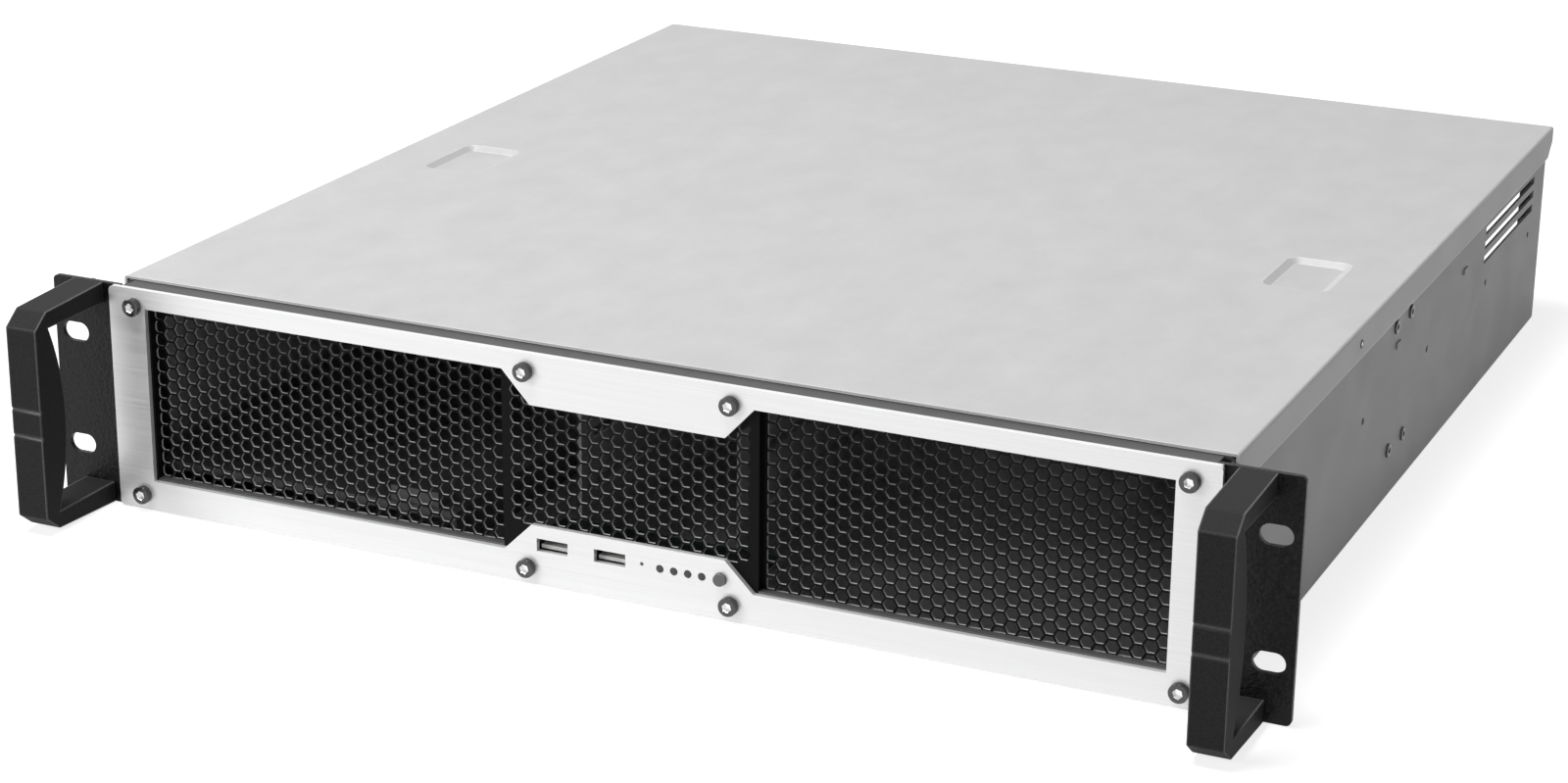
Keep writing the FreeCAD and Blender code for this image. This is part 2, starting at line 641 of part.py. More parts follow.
def mesh_panel():
    """Perforated sheet: its middle lies on the plate's back and its two side fields are pressed back."""
    thick, step = d.mesh_sheet.number, d.mesh_step.number
    trim = d.mesh_trim.number
    half_x = plate_half.number - trim
    z_low = d.plate_low.number + trim / 2
    z_high = plate_top.number - trim / 2
    field_in = d.window_in.number + d.mesh_bar.number
    field_out = window_out.number
    low, high = d.window_low.number, window_high.number
    solid = Part.makeBox(2 * half_x, thick, z_high - z_low, FreeCAD.Vector(-half_x, -thick, z_low))
    for side in (-1, 1):
        x = field_in if side > 0 else -field_out
        tray = Part.makeBox(field_out - field_in, step + thick, high - low, FreeCAD.Vector(x, -thick, low))
        hollow = Part.makeBox(field_out - field_in - 2 * thick, step, high - low - 2 * thick,
                              FreeCAD.Vector(x + thick, -thick, low + thick))
        solid = solid.fuse(tray).cut(hollow)
    margin = d.mesh_margin.number
    radius = (d.mesh_pitch.number - d.mesh_web.number) / math.sqrt(3)
    holes = []
    for side in (-1, 1):
        edges = sorted((side * (field_in + thick + margin), side * (field_out - thick)))
        for x, z in mesh_rows(*edges, low + thick, high - thick):
            face = Part.Face(hexagon_wire(x, z, radius, -thick))
            holes.append(face.extrude(FreeCAD.Vector(0, step + 3 * thick, 0)))
    bridge = d.bridge_half.number + radius / 2
    for x, z in mesh_rows(-bridge, bridge, bridge_low.number - thick, bridge_high.number + thick):
        face = Part.Face(hexagon_wire(x, z, radius, -2 * thick))
        holes.append(face.extrude(FreeCAD.Vector(0, 4 * thick, 0)))
    gap = d.io_gap_half.number
    rise = d.io_gap_high.number - d.io_gap_low.number
    corner = FreeCAD.Vector(-gap, -2 * thick, d.io_gap_low.number)
    holes.append(Part.makeBox(2 * gap, 4 * thick, rise, corner))
    notch = d.bezel_shank.number + d.slip.number
    for across, rise in bezel_places:
        upper = rise.number > ear_mid.number
        start = rise.number - notch if upper else 0.0
        end = d.case_height.number if upper else rise.number + notch
        corner = FreeCAD.Vector(across.number - notch, -2 * thick, start)
        holes.append(Part.makeBox(2 * notch, 4 * thick, end - start, corner))
    obj = doc.addObject("Part::Feature", "mesh_panel")
    obj.Shape = solid.cut(Part.makeCompound(holes)).removeSplitter().Solids[0]
    return finish("mesh_panel", obj)


def bezel_screws():
    """Socket head screws with a hexagon socket."""
    screws = []
    for index, (across, rise) in enumerate(bezel_places):
        name = "bezel_screw_%d" % index
        head = peg(name + "_head", "y", d.bezel_head, d.bezel_head_rise, across,
                   plate_front - d.bezel_head_rise, rise, 12)
        shank = peg(name + "_shank", "y", d.bezel_shank, d.bezel_shank_end - plate_front, across,
                    plate_front, rise)
        whole = fuse(name + "_turned", [head, shank])
        socket = peg(name + "_socket", "y", d.bezel_socket, d.bezel_socket_sink, across,
                     plate_front - d.bezel_head_rise, rise)
        screws.append(cut(name, whole, [socket]))
    return finish("bezel_screws", gather("bezel_screws", screws))


def ear_bracket(word, side):
    """Black angle bracket: a slotted ear in front and a leg inside the side wall."""
    ear = in_order(side * ear_inner, side * ear_half)
    leg = in_order(side * ear_inner, side * inner)
    body = bodied("ear_body_" + word)
    face = sketch(body, "ear_outline_" + word, "XZ_Plane", zero)
    outline(face, rectangle(ear, (zero, ear_height)))
    flange = pad(body, "ear_pad_" + word, face, d.ear_thick, reverse=True)
    edge = side * ear_half.number
    rounded(body, "ear_corners_" + word, flange, d.ear_corner,
            lambda a, b: near(a.x, edge) and near(b.x, edge) and near(a.z, b.z))
    shelf = block("ear_leg_" + word, leg, (zero, d.ear_leg_depth),
                  (d.case_sheet + d.fit, ledge_low - d.fit))
    solid = fuse("ear_folded_" + word, [body, shelf])
    tools = []
    across = side * (ear_half - d.ear_slot_inset)
    run = (d.ear_slot_length - d.ear_slot_width) / 2
    for index, up in enumerate((-1, 1)):
        rise = ear_mid + d.ear_slot_rise / 2 * up
        name = "ear_slot_%s_%d" % (word, index)
        tools.append(block(name, (across - run, across + run), (-d.ear_thick, d.ear_thick * 2),
                           (rise - d.ear_slot_width / 2, rise + d.ear_slot_width / 2)))
        for end in (-1, 1):
            tools.append(rod("%s_end_%d" % (name, end + 1), "y", d.ear_slot_width / 2, d.ear_thick * THROUGH,
                             across + run * end, -d.ear_thick, rise))
    for index, rise in enumerate(handle_screw_rises()):
        tools.append(peg("ear_bore_%s_%d" % (word, index), "y", d.handle_screw + d.slip, d.ear_thick * THROUGH,
                         side * handle_middle(), -d.ear_thick, rise))
    start = in_order(side * (ear_inner - d.past), side * (inner + d.past))[0]
    for index, rise in enumerate(ear_screw_rises()):
        tools.append(peg("ear_leg_hole_%s_%d" % (word, index), "x", d.small_shank + d.slip,
                         d.ear_thick + d.past * 2, start, d.ear_screw_depth, rise))
    return finish("ear_bracket_" + word, cut("ear_bracket_" + word, solid, [fuse("ear_tools_" + word, tools)]))


def handle_middle():
    return ear_half - d.handle_inset + d.handle_width / 2


def handle_screw_rises():
    return [d.handle_arm / 2 - d.handle_arm_drop / 4, ear_height - d.handle_arm / 2 + d.handle_arm_drop / 4]


def handle(word, side):
    """Moulded bow handle: two arms, a chamfered front, two groove lines and a grip with a belly."""
    body = bodied("handle_body_" + word)
    start = side * handle_middle() - d.handle_width / 2
    side_face = sketch(body, "handle_outline_" + word, "YZ_Plane", start)
    front = -d.handle_depth
    shoulder = front + d.handle_chamfer_depth
    top = ear_height
    drop = d.handle_arm_drop
    sink = front + d.handle_groove_sink
    upper = [(zero, top), (shoulder, top - drop), (front, top - drop - d.handle_chamfer_rise)]
    band = d.handle_groove_width / 2
    grooves = []
    for rise in (ear_mid + d.handle_groove, ear_mid - d.handle_groove):
        grooves += [(front, rise + band), (sink, rise + d.handle_groove_top),
                    (sink, rise - d.handle_groove_foot), (front, rise - band)]
    lower = [(u, ear_height - v) for u, v in reversed(upper)]
    outline(side_face, upper + grooves + lower)
    pad(body, "handle_pad_" + word, side_face, d.handle_width)
    grip_back = front + d.handle_grip
    arm = d.handle_arm
    window = block("handle_window_" + word, (start - d.past, start + d.handle_width + d.past),
                   (grip_back, zero + d.past), (arm, top - arm))
    rise = ear_mid - arm
    radius = (rise * rise + d.handle_belly * d.handle_belly) / (2 * d.handle_belly)
    belly = rod("handle_belly_" + word, "x", radius, d.handle_width + d.past * 4, start - d.past * 2,
                grip_back + d.handle_belly - radius, ear_mid)
    bow = cut("handle_bow_" + word, body, [cut("handle_gap_" + word, window, [belly])])
    tools = []
    for index, rise in enumerate(handle_screw_rises()):
        tools.append(peg("handle_bore_%s_%d" % (word, index), "y", d.handle_screw + d.slip,
                         d.handle_screw_length + d.past + d.fit, side * handle_middle(),
                         -(d.handle_screw_length + d.fit), rise))
    return finish("handle_" + word, cut("handle_" + word, bow, tools))


def handle_screws():
    """Flat headed screws that hold the handles from behind the ears."""
    screws = [screw("handle_screw_%s_%d" % (word, index), "y", 1, d.handle_screw_head, d.handle_screw_rise,
                    d.handle_screw, d.handle_screw_length + d.ear_thick, side * handle_middle(), d.ear_thick,
                    rise)
              for word, side in (("left", -1), ("right", 1))
              for index, rise in enumerate(handle_screw_rises())]
    return finish("handle_screws", gather("handle_screws", screws))


def side_screws(label, places, length):
    """Pan head screws driven inwards through a side wall."""
    screws = []
    for index, (side, depth, rise) in enumerate(places):
        screws.append(screw("%s_%d" % (label, index), "x", side, d.small_head, d.small_head_rise,
                            d.small_shank, length, side * half, depth, rise))
    return finish(label, gather(label, screws))


def front_board():
    """Small circuit board behind the plate, held on four posts."""
    board = block("board_sheet", (-d.board_half, d.board_half),
                  (d.board_start, d.board_start + d.board_depth), (board_low, board_top))
    tools = [peg("board_hole_%d" % index, "z", d.post_bore + d.slip, d.board_thick * THROUGH, across, depth,
                 board_low - d.board_thick)
             for index, (across, depth) in enumerate(post_places())]
    return finish("front_board", cut("front_board", board, tools))


def post_places():
    inset = d.post_radius + d.past
    near_y = d.board_start + d.post_setback
    far_y = d.board_start + d.board_depth - inset
    return [(side * (d.board_half - inset), depth) for side in (-1, 1) for depth in (near_y, far_y)]


def board_posts():
    posts = []
    for index, (across, depth) in enumerate(post_places()):
        post = peg("post_%d_turned" % index, "z", d.post_radius, board_low - d.case_sheet, across, depth,
                   d.case_sheet)
        bore = peg("post_%d_bore" % index, "z", d.post_bore, board_low, across, depth, d.case_sheet * 2)
        posts.append(cut("post_%d" % index, post, [bore]))
    return finish("board_posts", gather("board_posts", posts))


def usb_port(word, place_x):
    """Socket shell with its tongue; the shell stands on the board."""
    start = plate_back + d.slip
    end = start + d.usb_depth
    wide = d.usb_width / 2
    tall = d.usb_height / 2
    shell = block("usb_shell_" + word, (place_x - wide - d.usb_shell, place_x + wide + d.usb_shell),
                  (start, end), (d.usb_rise - tall - d.usb_shell, d.usb_rise + tall + d.usb_shell))
    cavity = block("usb_cavity_" + word, (place_x - wide, place_x + wide), (start - d.past, end - d.usb_back),
                   (d.usb_rise - tall, d.usb_rise + tall))
    hollow = cut("usb_hollow_" + word, shell, [cavity])
    reach = d.usb_tongue_width / 2
    tongue_low = d.usb_rise - tall + d.usb_tongue_lift
    inset = d.usb_tongue_inset
    tongue = block("usb_tongue_" + word, (place_x - reach, place_x + reach), (start + inset, end - inset),
                   (tongue_low, tongue_low + d.usb_tongue))
    return finish("usb_port_" + word, fuse("usb_port_" + word, [hollow, tongue]))


def status_lamps():
    lamps = []
    start = plate_front - d.lamp_out
    base_start = d.case_sheet + d.fit
    for index, place_x in enumerate(lamp_places):
        name = "lamp_%d" % index
        nose = peg(name + "_nose", "y", d.lamp_radius, base_start - start, place_x, start, d.lamp_rise, 12)
        wide = d.lamp_base / 2
        base = block(name + "_base", (place_x - wide, place_x + wide),
                     (base_start, base_start + d.lamp_base), (board_top, d.lamp_rise + wide))
        lamps.append(fuse(name, [nose, base]))
    return finish("status_lamps", gather("status_lamps", lamps))


def switch_body(label, place_x, rise, bore):
    """Switch housing on the board with a bore for its plunger."""
    wide = d.switch_width / 2
    box = block(label + "_box", (place_x - wide, place_x + wide),
                (d.switch_setback, d.switch_setback + d.switch_width), (board_top, rise + wide))
    hole = peg(label + "_bore", "y", bore + d.fit, d.switch_width - d.switch_back + d.past, place_x,
               d.switch_setback - d.past, rise)
    return finish(label, cut(label, box, [hole]))


def power_button():
    """Button with a head outside the plate and a stem that runs into its switch."""
    start = plate_front - d.power_out
    stem_end = d.switch_setback + d.switch_width - d.switch_back - d.power_travel - d.fit
    stem = peg("power_stem", "y", d.power_stem, stem_end - d.fit, d.power_place, d.fit, d.power_rise)
    head = rod("power_head", "y", d.power_radius, d.case_sheet * 2 - start, d.power_place, start,
               d.power_rise)
    return finish("power_button", fuse("power_button", [head, stem]))


def reset_button():
    """Plunger behind the pinhole, pressed with a pin."""
    start = d.reset_setback
    stem_end = d.switch_setback + d.switch_width - d.switch_back - d.reset_travel - d.fit
    stem = peg("reset_stem", "y", d.reset_radius, stem_end - start, d.reset_place, start, d.reset_rise)
    collar_start = d.switch_setback - d.reset_travel - d.reset_collar_length - d.fit * 2
    collar = peg("reset_collar", "y", d.reset_collar, d.reset_collar_length, d.reset_place, collar_start,
                 d.reset_rise)
    return finish("reset_button", fuse("reset_button", [stem, collar]))


def drive_tray():
    """Raised tray for two drives: a deck on two folded sides, with a lip along its front."""
    low = d.case_sheet
    start, end = d.tray_start, d.tray_start + d.tray_depth
    out, near_x = d.tray_side - half, -d.tray_in
    deck = block("tray_deck", (out, near_x), (start, end), (d.tray_rise - d.tray_sheet, d.tray_rise))
    lip = block("tray_front_lip", (out, near_x), (start, start + d.tray_sheet),
                (d.tray_rise - d.tray_lip, d.tray_rise))
    legs = []
    for word, edge in (("out", out), ("in", near_x - d.tray_sheet)):
        legs.append(block("tray_leg_" + word, (edge, edge + d.tray_sheet), (start, end), (low, d.tray_rise)))
    feet = [block("tray_foot_out", (out, out + d.tray_foot), (start, end), (low, low + d.tray_sheet)),
            block("tray_foot_in", (near_x - d.tray_foot, near_x), (start, end), (low, low + d.tray_sheet))]
    solid = fuse("tray_folded", [deck, lip] + legs + feet)
    tools = []
    middle = (out + near_x) / 2
    for row in range(3):
        depth = start + d.tray_hole_start + d.tray_hole_pitch * row
        for side in (-1, 1):
            tools.append(peg("tray_hole_%d_%d" % (row, side + 1), "z", d.tray_hole, d.tray_sheet * THROUGH,
                             middle + side * d.tray_hole_spread, depth, d.tray_rise - d.tray_sheet * 2))
    for row in range(2):
        depth = start + d.tray_hole_start + d.tray_hole_pitch * (row + 0.5)
        tools.append(block("tray_slot_%d" % row, (middle - d.tray_slot, middle + d.tray_slot),
                           (depth - d.tray_hole, depth + d.tray_hole),
                           (d.tray_rise - d.tray_sheet * 2, d.tray_rise + d.tray_sheet)))
    return finish("drive_tray", cut("drive_tray", solid, tools))


def drive_stop():
    """Bright angle that stands on the tray's front corner."""
    high = -d.tray_in - d.stop_inset
    span = (high - d.stop_width, high)
    start = d.tray_start + d.tray_sheet
    flat = block("stop_flat", span, (start, start + d.stop_rise * 2),
                 (d.tray_rise, d.tray_rise + d.tray_sheet))
    upright = block("stop_upright", span, (start, start + d.tray_sheet),
                    (d.tray_rise, d.tray_rise + d.stop_rise))
    return finish("drive_stop", fuse("drive_stop", [flat, upright]))


def divider(word, place_x, side):
    """Upright folded sheet on a foot, with two long slots for drive screws."""
    start, end = d.divider_start, d.divider_start + d.divider_depth
    wall_x = in_order(place_x, place_x + d.divider_sheet * side)
    foot_x = in_order(place_x, place_x + d.divider_foot * side)
    wall = block("divider_wall_" + word, wall_x, (start, end), (d.case_sheet, d.divider_rise))
    foot = block("divider_foot_" + word, foot_x, (start, end),
                 (d.case_sheet, d.case_sheet + d.divider_sheet))
    solid = fuse("divider_folded_" + word, [wall, foot])
    tools = []
    reach = d.divider_sheet + d.past
    for row in range(2):
        rise = d.divider_slot_step * (row + 1)
        tools.append(block("divider_slot_%s_%d" % (word, row), (place_x - reach, place_x + reach),
                           (start + d.divider_foot, end - d.divider_foot), (rise, rise + d.divider_slot)))
    return finish("divider_" + word, cut("divider_" + word, solid, tools))


def rear_panel():
    """Rear wall with the connector, power supply and card openings and a row of exhaust slots."""
    wall = block("rear_sheet", (-inner, inner), (rear_face, d.case_depth), (d.case_sheet, ledge_low))
    lip = half - d.ledge_width - d.case_sheet - d.fit
    ledge = block("rear_ledge_sheet", (-lip, lip), (d.case_depth - d.rear_ledge, d.case_depth),
                  (ledge_low, wall_top))
    tabs = []
    for word, side in (("left", -1), ("right", 1)):
        span = in_order(side * (inner - d.case_sheet), side * inner)
        tabs.append(block("rear_tab_" + word, span, (d.case_depth - d.rear_tab, d.case_depth),
                          (d.case_sheet * 4, ledge_low - d.case_sheet * 2)))
    solid = fuse("rear_folded", [wall, ledge] + tabs)
    through = (rear_face - d.past, d.case_depth + d.past)
    tools = [block("io_window", (io_start, io_start + d.io_width), through, (d.io_low, io_high)),
             block("psu_window", (psu_start, psu_start + d.psu_width), through, (d.psu_low, psu_high))]
    for index, centre in enumerate(card_places()):
        tools.append(block("card_window_%d" % index, (centre - d.card_window / 2, centre + d.card_window / 2),
                           through, (d.card_low, d.case_height - d.card_drop)))
        tools.append(peg("card_hole_%d" % index, "y", d.small_shank + d.slip, d.case_sheet + d.past * 2,
                         centre, rear_face - d.past, card_screw_rise))
    exhaust_high = d.case_height - d.exhaust_drop
    exhaust_low = io_high + (exhaust_high - io_high) * d.exhaust_share
    count = int(d.io_width.number / d.exhaust_pitch.number)
    for index in range(count):
        start = io_start + (d.exhaust_pitch - d.exhaust_slot) / 2 + d.exhaust_pitch * index
        tools.append(block("exhaust_%d" % index, (start, start + d.exhaust_slot), through,
                           (exhaust_low, exhaust_high)))
    for index, across in enumerate(cover_screw_places()):
        tools.append(peg("rear_cover_hole_%d" % index, "y", d.cover_screw_shank + d.slip,
                         d.case_sheet + d.past * 2, across, rear_face - d.past, cover_screw_rise()))
    return finish("rear_panel", cut("rear_panel", solid, tools))


def card_places():
    """Middles of the card slots: as many as fit between the connector window and the left wall."""
    first = io_start - d.card_gap
    count = 1 + int((half + first - d.card_side).number / d.card_pitch.number)
    return [first - d.card_pitch * index for index in range(count)]


def card_cover(index, centre):
    wide = d.card_cover_width / 2
    strip = block("card_strip_%d" % index, (centre - wide, centre + wide),
                  (rear_face - d.card_cover_thick, rear_face),
                  (d.card_cover_low, d.case_height - d.card_cover_drop))
    hole = peg("card_strip_hole_%d" % index, "y", d.small_shank + d.slip, d.card_cover_thick + d.past * 2,
               centre, rear_face - d.card_cover_thick - d.past, card_screw_rise)
    label = "card_cover_%d" % (index + 1)
    return finish(label, cut(label, strip, [hole]))


def card_screws():
    screws = [screw("card_screw_%d" % index, "y", 1, d.small_head, d.small_head_rise, d.small_shank,
                    d.small_screw_length, centre, d.case_depth, card_screw_rise)
              for index, centre in enumerate(card_places())]
    return finish("card_screws", gather("card_screws", screws))


def psu_bracket():
    """Bracket that carries the front end of a power supply; it is screwed to the right wall."""
    end = d.brace_start + d.brace_depth
    cheek = block("brace_cheek", (inner - d.brace_sheet, inner), (d.brace_start, end),
                  (d.brace_low, brace_high))
    cross = block("brace_cross", (brace_in, inner), (end - d.brace_sheet, end),
                  (d.case_sheet, brace_high))
    foot = block("brace_foot", (brace_in, inner - d.brace_sheet * 4), (d.brace_start, end),
                 (d.case_sheet, d.case_sheet + d.brace_sheet))
    solid = fuse("brace_folded", [cheek, cross, foot])
    margin = d.brace_margin
    tools = [block("brace_window", (brace_in + margin, inner - margin),
                   (end - d.brace_sheet - d.past, end + d.past), (d.case_sheet + margin, brace_high - margin))]
    for index, (depth, rise) in enumerate(brace_screw_places()):
        tools.append(peg("brace_bore_%d" % index, "x", d.small_shank + d.slip, d.brace_sheet + d.past * 2,
                         inner - d.brace_sheet - d.past, depth, rise))
    return finish("psu_bracket", cut("psu_bracket", solid, tools))


def stand_places():
    rear = rear_face - d.stand_rear_inset
    first = io_start + d.io_width - d.stand_gap
    columns = (first, first - d.stand_column, first - d.stand_column_far)
    places = [(columns[0], rear - d.stand_row_corner)]
    places += [(column, rear) for column in columns[1:]]
    for row in (d.stand_row, d.stand_row_front):
        places += [(column, rear - row) for column in columns]
    return places


def board_standoffs():
    """Hexagon standoffs for a main board; the four at the corners of its front rows have round bores."""
    stands = []
    for index, (across, depth) in enumerate(stand_places()):
        bored = rod if index in MOUNT_STANDS else peg
        post = peg("stand_%d_hex" % index, "z", d.stand_radius, d.stand_rise, across, depth, d.case_sheet)
        bore = bored("stand_%d_bore" % index, "z", d.stand_bore, d.stand_rise, across, depth,
                     d.case_sheet + d.stand_floor)
        stands.append(cut("stand_%d" % index, post, [bore]))
    return finish("board_standoffs", gather("board_standoffs", stands))


def build():
    chassis_base()
    rear_panel()
    top_cover()
    cover_screws()
    front_plate()
    mesh_panel()
    bezel_screws()
    for word, side in (("left", -1), ("right", 1)):
        ear_bracket(word, side)
        handle(word, side)
    handle_screws()
    side_screws("ear_screws", [(side, d.ear_screw_depth, rise)
                               for side in (-1, 1) for rise in ear_screw_rises()],
                d.case_sheet + d.ear_thick + d.fit)
    front_board()
    board_posts()
    for word, place_x in usb_places.items():
        usb_port(word, place_x)
    status_lamps()
    switch_body("power_switch", d.power_place, d.power_rise, d.power_stem)
    power_button()
    switch_body("reset_switch", d.reset_place, d.reset_rise, d.reset_radius)
    reset_button()
    drive_tray()
    drive_stop()
    divider("left", d.divider_left, -1)
    divider("right", d.divider_right, 1)
    for index, centre in enumerate(card_places()):
        card_cover(index, centre)
    card_screws()
    psu_bracket()
    side_screws("brace_screws", [(1, depth, rise) for depth, rise in brace_screw_places()],
                d.case_sheet + d.brace_sheet + d.fit)
    board_standoffs()


def check():
    """Stops before anything is written if an object failed or a piece is not a valid solid."""
    for obj in doc.Objects:
        assert not {"Invalid", "Error"} & set(obj.State), obj.Name + " failed"
    for label, obj in nodes.items():
        assert obj.Label == label, label + " is not the label"
        assert not obj.Shape.isNull() and obj.Shape.isValid(), label + " is not valid"
        assert obj.Shape.Solids, label + " has no solid"


build()
doc.recompute()
check()
os.makedirs("parts", exist_ok=True)
for label, obj in nodes.items():
    obj.Shape.exportStep("parts/%s.step" % label)
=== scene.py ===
import math

import bmesh
import bpy
from mathutils import Matrix, Vector
from mathutils.geometry import delaunay_2d_cdt


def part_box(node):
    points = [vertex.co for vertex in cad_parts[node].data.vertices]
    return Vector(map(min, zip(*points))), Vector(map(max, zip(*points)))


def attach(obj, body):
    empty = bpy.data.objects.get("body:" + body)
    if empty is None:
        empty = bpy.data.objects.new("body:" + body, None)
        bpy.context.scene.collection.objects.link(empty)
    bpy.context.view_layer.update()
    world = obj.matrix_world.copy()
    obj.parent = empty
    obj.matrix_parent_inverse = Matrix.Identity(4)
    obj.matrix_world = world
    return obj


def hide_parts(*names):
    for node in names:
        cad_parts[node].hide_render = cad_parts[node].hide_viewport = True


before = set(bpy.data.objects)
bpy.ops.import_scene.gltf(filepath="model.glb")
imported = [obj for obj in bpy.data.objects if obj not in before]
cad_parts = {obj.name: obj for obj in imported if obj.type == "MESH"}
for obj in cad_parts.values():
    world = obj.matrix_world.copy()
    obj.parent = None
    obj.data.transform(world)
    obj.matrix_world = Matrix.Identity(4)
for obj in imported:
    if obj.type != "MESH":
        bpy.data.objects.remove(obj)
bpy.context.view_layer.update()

MM = 0.001

# The plane of the ears' front faces, and the middle height of the ears
EAR_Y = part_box("ear_bracket_left")[0][1]
EAR_Z = (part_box("ear_bracket_left")[0][2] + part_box("ear_bracket_left")[1][2]) / 2


# The photograph's camera: its turn to the right, its rise and its roll in degrees, how far it stands off,
# the focal length and the width of film behind it in mm, where it looks at, measured across from the middle
# of the case and up from the middle of the ears, and how far it sees, in metres
AZIMUTH, ELEVATION, ROLL = 24.54, 19.48, 0.563
DISTANCE = 1.1364
FOCAL, FILM = 77.19, 36
AIM_X, AIM_RISE = 0.0588, 0.0439
FAR = 50


def aim_camera():
    azimuth, elevation, roll = (math.radians(angle) for angle in (AZIMUTH, ELEVATION, ROLL))
    target = Vector((AIM_X, EAR_Y, EAR_Z + AIM_RISE))
    back = Vector((math.sin(azimuth) * math.cos(elevation), -math.cos(azimuth) * math.cos(elevation),
                   math.sin(elevation)))
    right = Vector((math.cos(azimuth), math.sin(azimuth), 0))
    up = back.cross(right)
    rolled_right = right * math.cos(roll) + up * math.sin(roll)
    rolled_up = up * math.cos(roll) - right * math.sin(roll)
    data = bpy.data.cameras.new("camera")
    data.sensor_fit = "HORIZONTAL"
    data.sensor_width = FILM
    data.lens = FOCAL
    data.clip_end = FAR
    camera = bpy.data.objects.new("camera", data)
    bpy.context.collection.objects.link(camera)
    turn = Matrix((rolled_right, rolled_up, back)).transposed().to_4x4()
    camera.matrix_world = Matrix.Translation(target + back * DISTANCE) @ turn
    bpy.context.scene.camera = camera


# Materials: where the lighter edges (wear, and painted highlight) end and start, as the likeness of the rounded
# and the plain normal
EDGE_WEAR_AND_HIGHLIGHT_TURN = 0.90, 0.995


class Shade:
    """A node material whose colour, roughness and bump vary over the surface."""

    def __init__(self, name, color, metallic, roughness, **sockets):
        self.material = bpy.data.materials.new(name)
        self.material.use_nodes = True
        self.tree = self.material.node_tree
        self.shader = self.tree.nodes["Principled BSDF"]
        self.color = color
        self.roughness = roughness
        self.shader.inputs["Base Color"].default_value = (*color, 1)
        self.shader.inputs["Metallic"].default_value = metallic
        self.shader.inputs["Roughness"].default_value = roughness
        for socket, value in sockets.items():
            self.shader.inputs[socket.replace("_", " ")].default_value = value
        self.bump = None

    def node(self, kind, **values):
        node = self.tree.nodes.new(kind)
        for key, value in values.items():
            if key in node.inputs:
                node.inputs[key].default_value = value
            else:
                setattr(node, key, value)
        return node

    def link(self, source, target):
        self.tree.links.new(source, target)

    def noise(self, scale, detail, rough=0.55):
        """Noise over the object's own coordinates, with a scale for each axis."""
        place = self.node("ShaderNodeTexCoord")
        stretch = self.node("ShaderNodeMapping")
        stretch.inputs["Scale"].default_value = scale if isinstance(scale, tuple) else (scale,) * 3
        self.link(place.outputs["Object"], stretch.inputs["Vector"])
        noise = self.node("ShaderNodeTexNoise", Scale=1.0, Detail=detail, Roughness=rough)
        self.link(stretch.outputs["Vector"], noise.inputs["Vector"])
        return noise.outputs["Fac"]

    def spread(self, factor, low, high, start=0.3, end=0.7):
        """Maps a factor from start..end to low..high."""
        node = self.node("ShaderNodeMapRange")
        node.inputs["From Min"].default_value = start
        node.inputs["From Max"].default_value = end
        node.inputs["To Min"].default_value = low
        node.inputs["To Max"].default_value = high
        self.link(factor, node.inputs["Value"])
        return node.outputs["Result"]

    def tint(self, factor, change):
        """Varies the colour's lightness by a share either way."""
        ramp = self.node("ShaderNodeMix", data_type="RGBA")
        ramp.inputs[6].default_value = (*(value * (1 - change) for value in self.color), 1)
        ramp.inputs[7].default_value = (*(min(value * (1 + change), 1) for value in self.color), 1)
        self.link(factor, ramp.inputs[0])
        self.link(ramp.outputs[2], self.shader.inputs["Base Color"])
        return self

    def gloss(self, factor, change):
        """Varies the roughness either way."""
        self.link(self.spread(factor, self.roughness - change, self.roughness + change),
                  self.shader.inputs["Roughness"])
        return self

    def mixed(self, factor, color):
        """Mixes another colour over the present one, by a factor that changes over the surface."""
        mix = self.node("ShaderNodeMix", data_type="RGBA")
        base = self.shader.inputs["Base Color"]
        self.link(base.links[0].from_socket, mix.inputs[6])
        mix.inputs[7].default_value = (*color, 1)
        self.link(factor, mix.inputs[0])
        self.link(mix.outputs[2], base)
        return self

    def joined(self, operation, first, second):
        """Two factors joined by a sum of that kind."""
        node = self.node("ShaderNodeMath", operation=operation)
        self.link(first, node.inputs[0])
        self.link(second, node.inputs[1])
        return node.outputs["Value"]

    def edge_wear_and_highlight(self, reach, color):
        """Lightens the colour along sharp edges, as a painted highlight where light would catch them, and on
        handled parts also as wear.
        """
        rounded = self.node("ShaderNodeBevel", samples=6, Radius=reach)
        flat = self.node("ShaderNodeNewGeometry")
        alike = self.node("ShaderNodeVectorMath", operation="DOT_PRODUCT")
        self.link(rounded.outputs["Normal"], alike.inputs[0])
        self.link(flat.outputs["Normal"], alike.inputs[1])
        return self.mixed(self.spread(alike.outputs["Value"], 1, 0, *EDGE_WEAR_AND_HIGHLIGHT_TURN), color)

    def painted_front_shade(self, front_end, ledge_end, ledge_top, run, share):
        """Painted shade: darkens the colour of what lies in front of one place along Y, and of a ledge's top up
        to another, where the ledge reflects its dark surroundings.
        """
        place = self.node("ShaderNodeTexCoord")
        parts = self.node("ShaderNodeSeparateXYZ")
        self.link(place.outputs["Object"], parts.inputs[0])
        front = self.spread(parts.outputs["Y"], 1, 0, front_end - run, front_end)
        near = self.spread(parts.outputs["Y"], 1, 0, ledge_end - run, ledge_end)
        high = self.spread(parts.outputs["Z"], 0, 1, ledge_top - run, ledge_top - run / 2)
        factor = self.joined("MAXIMUM", front, self.joined("MULTIPLY", near, high))
        return self.mixed(factor, [value * share for value in self.color])

    def relief(self, factor, depth):
        """Adds a bump of that depth in metres."""
        bump = self.node("ShaderNodeBump", Strength=1.0, Distance=depth)
        self.link(factor, bump.inputs["Height"])
        if self.bump:
            self.link(self.bump.outputs["Normal"], bump.inputs["Normal"])
        self.link(bump.outputs["Normal"], self.shader.inputs["Normal"])
        self.bump = bump
        return self


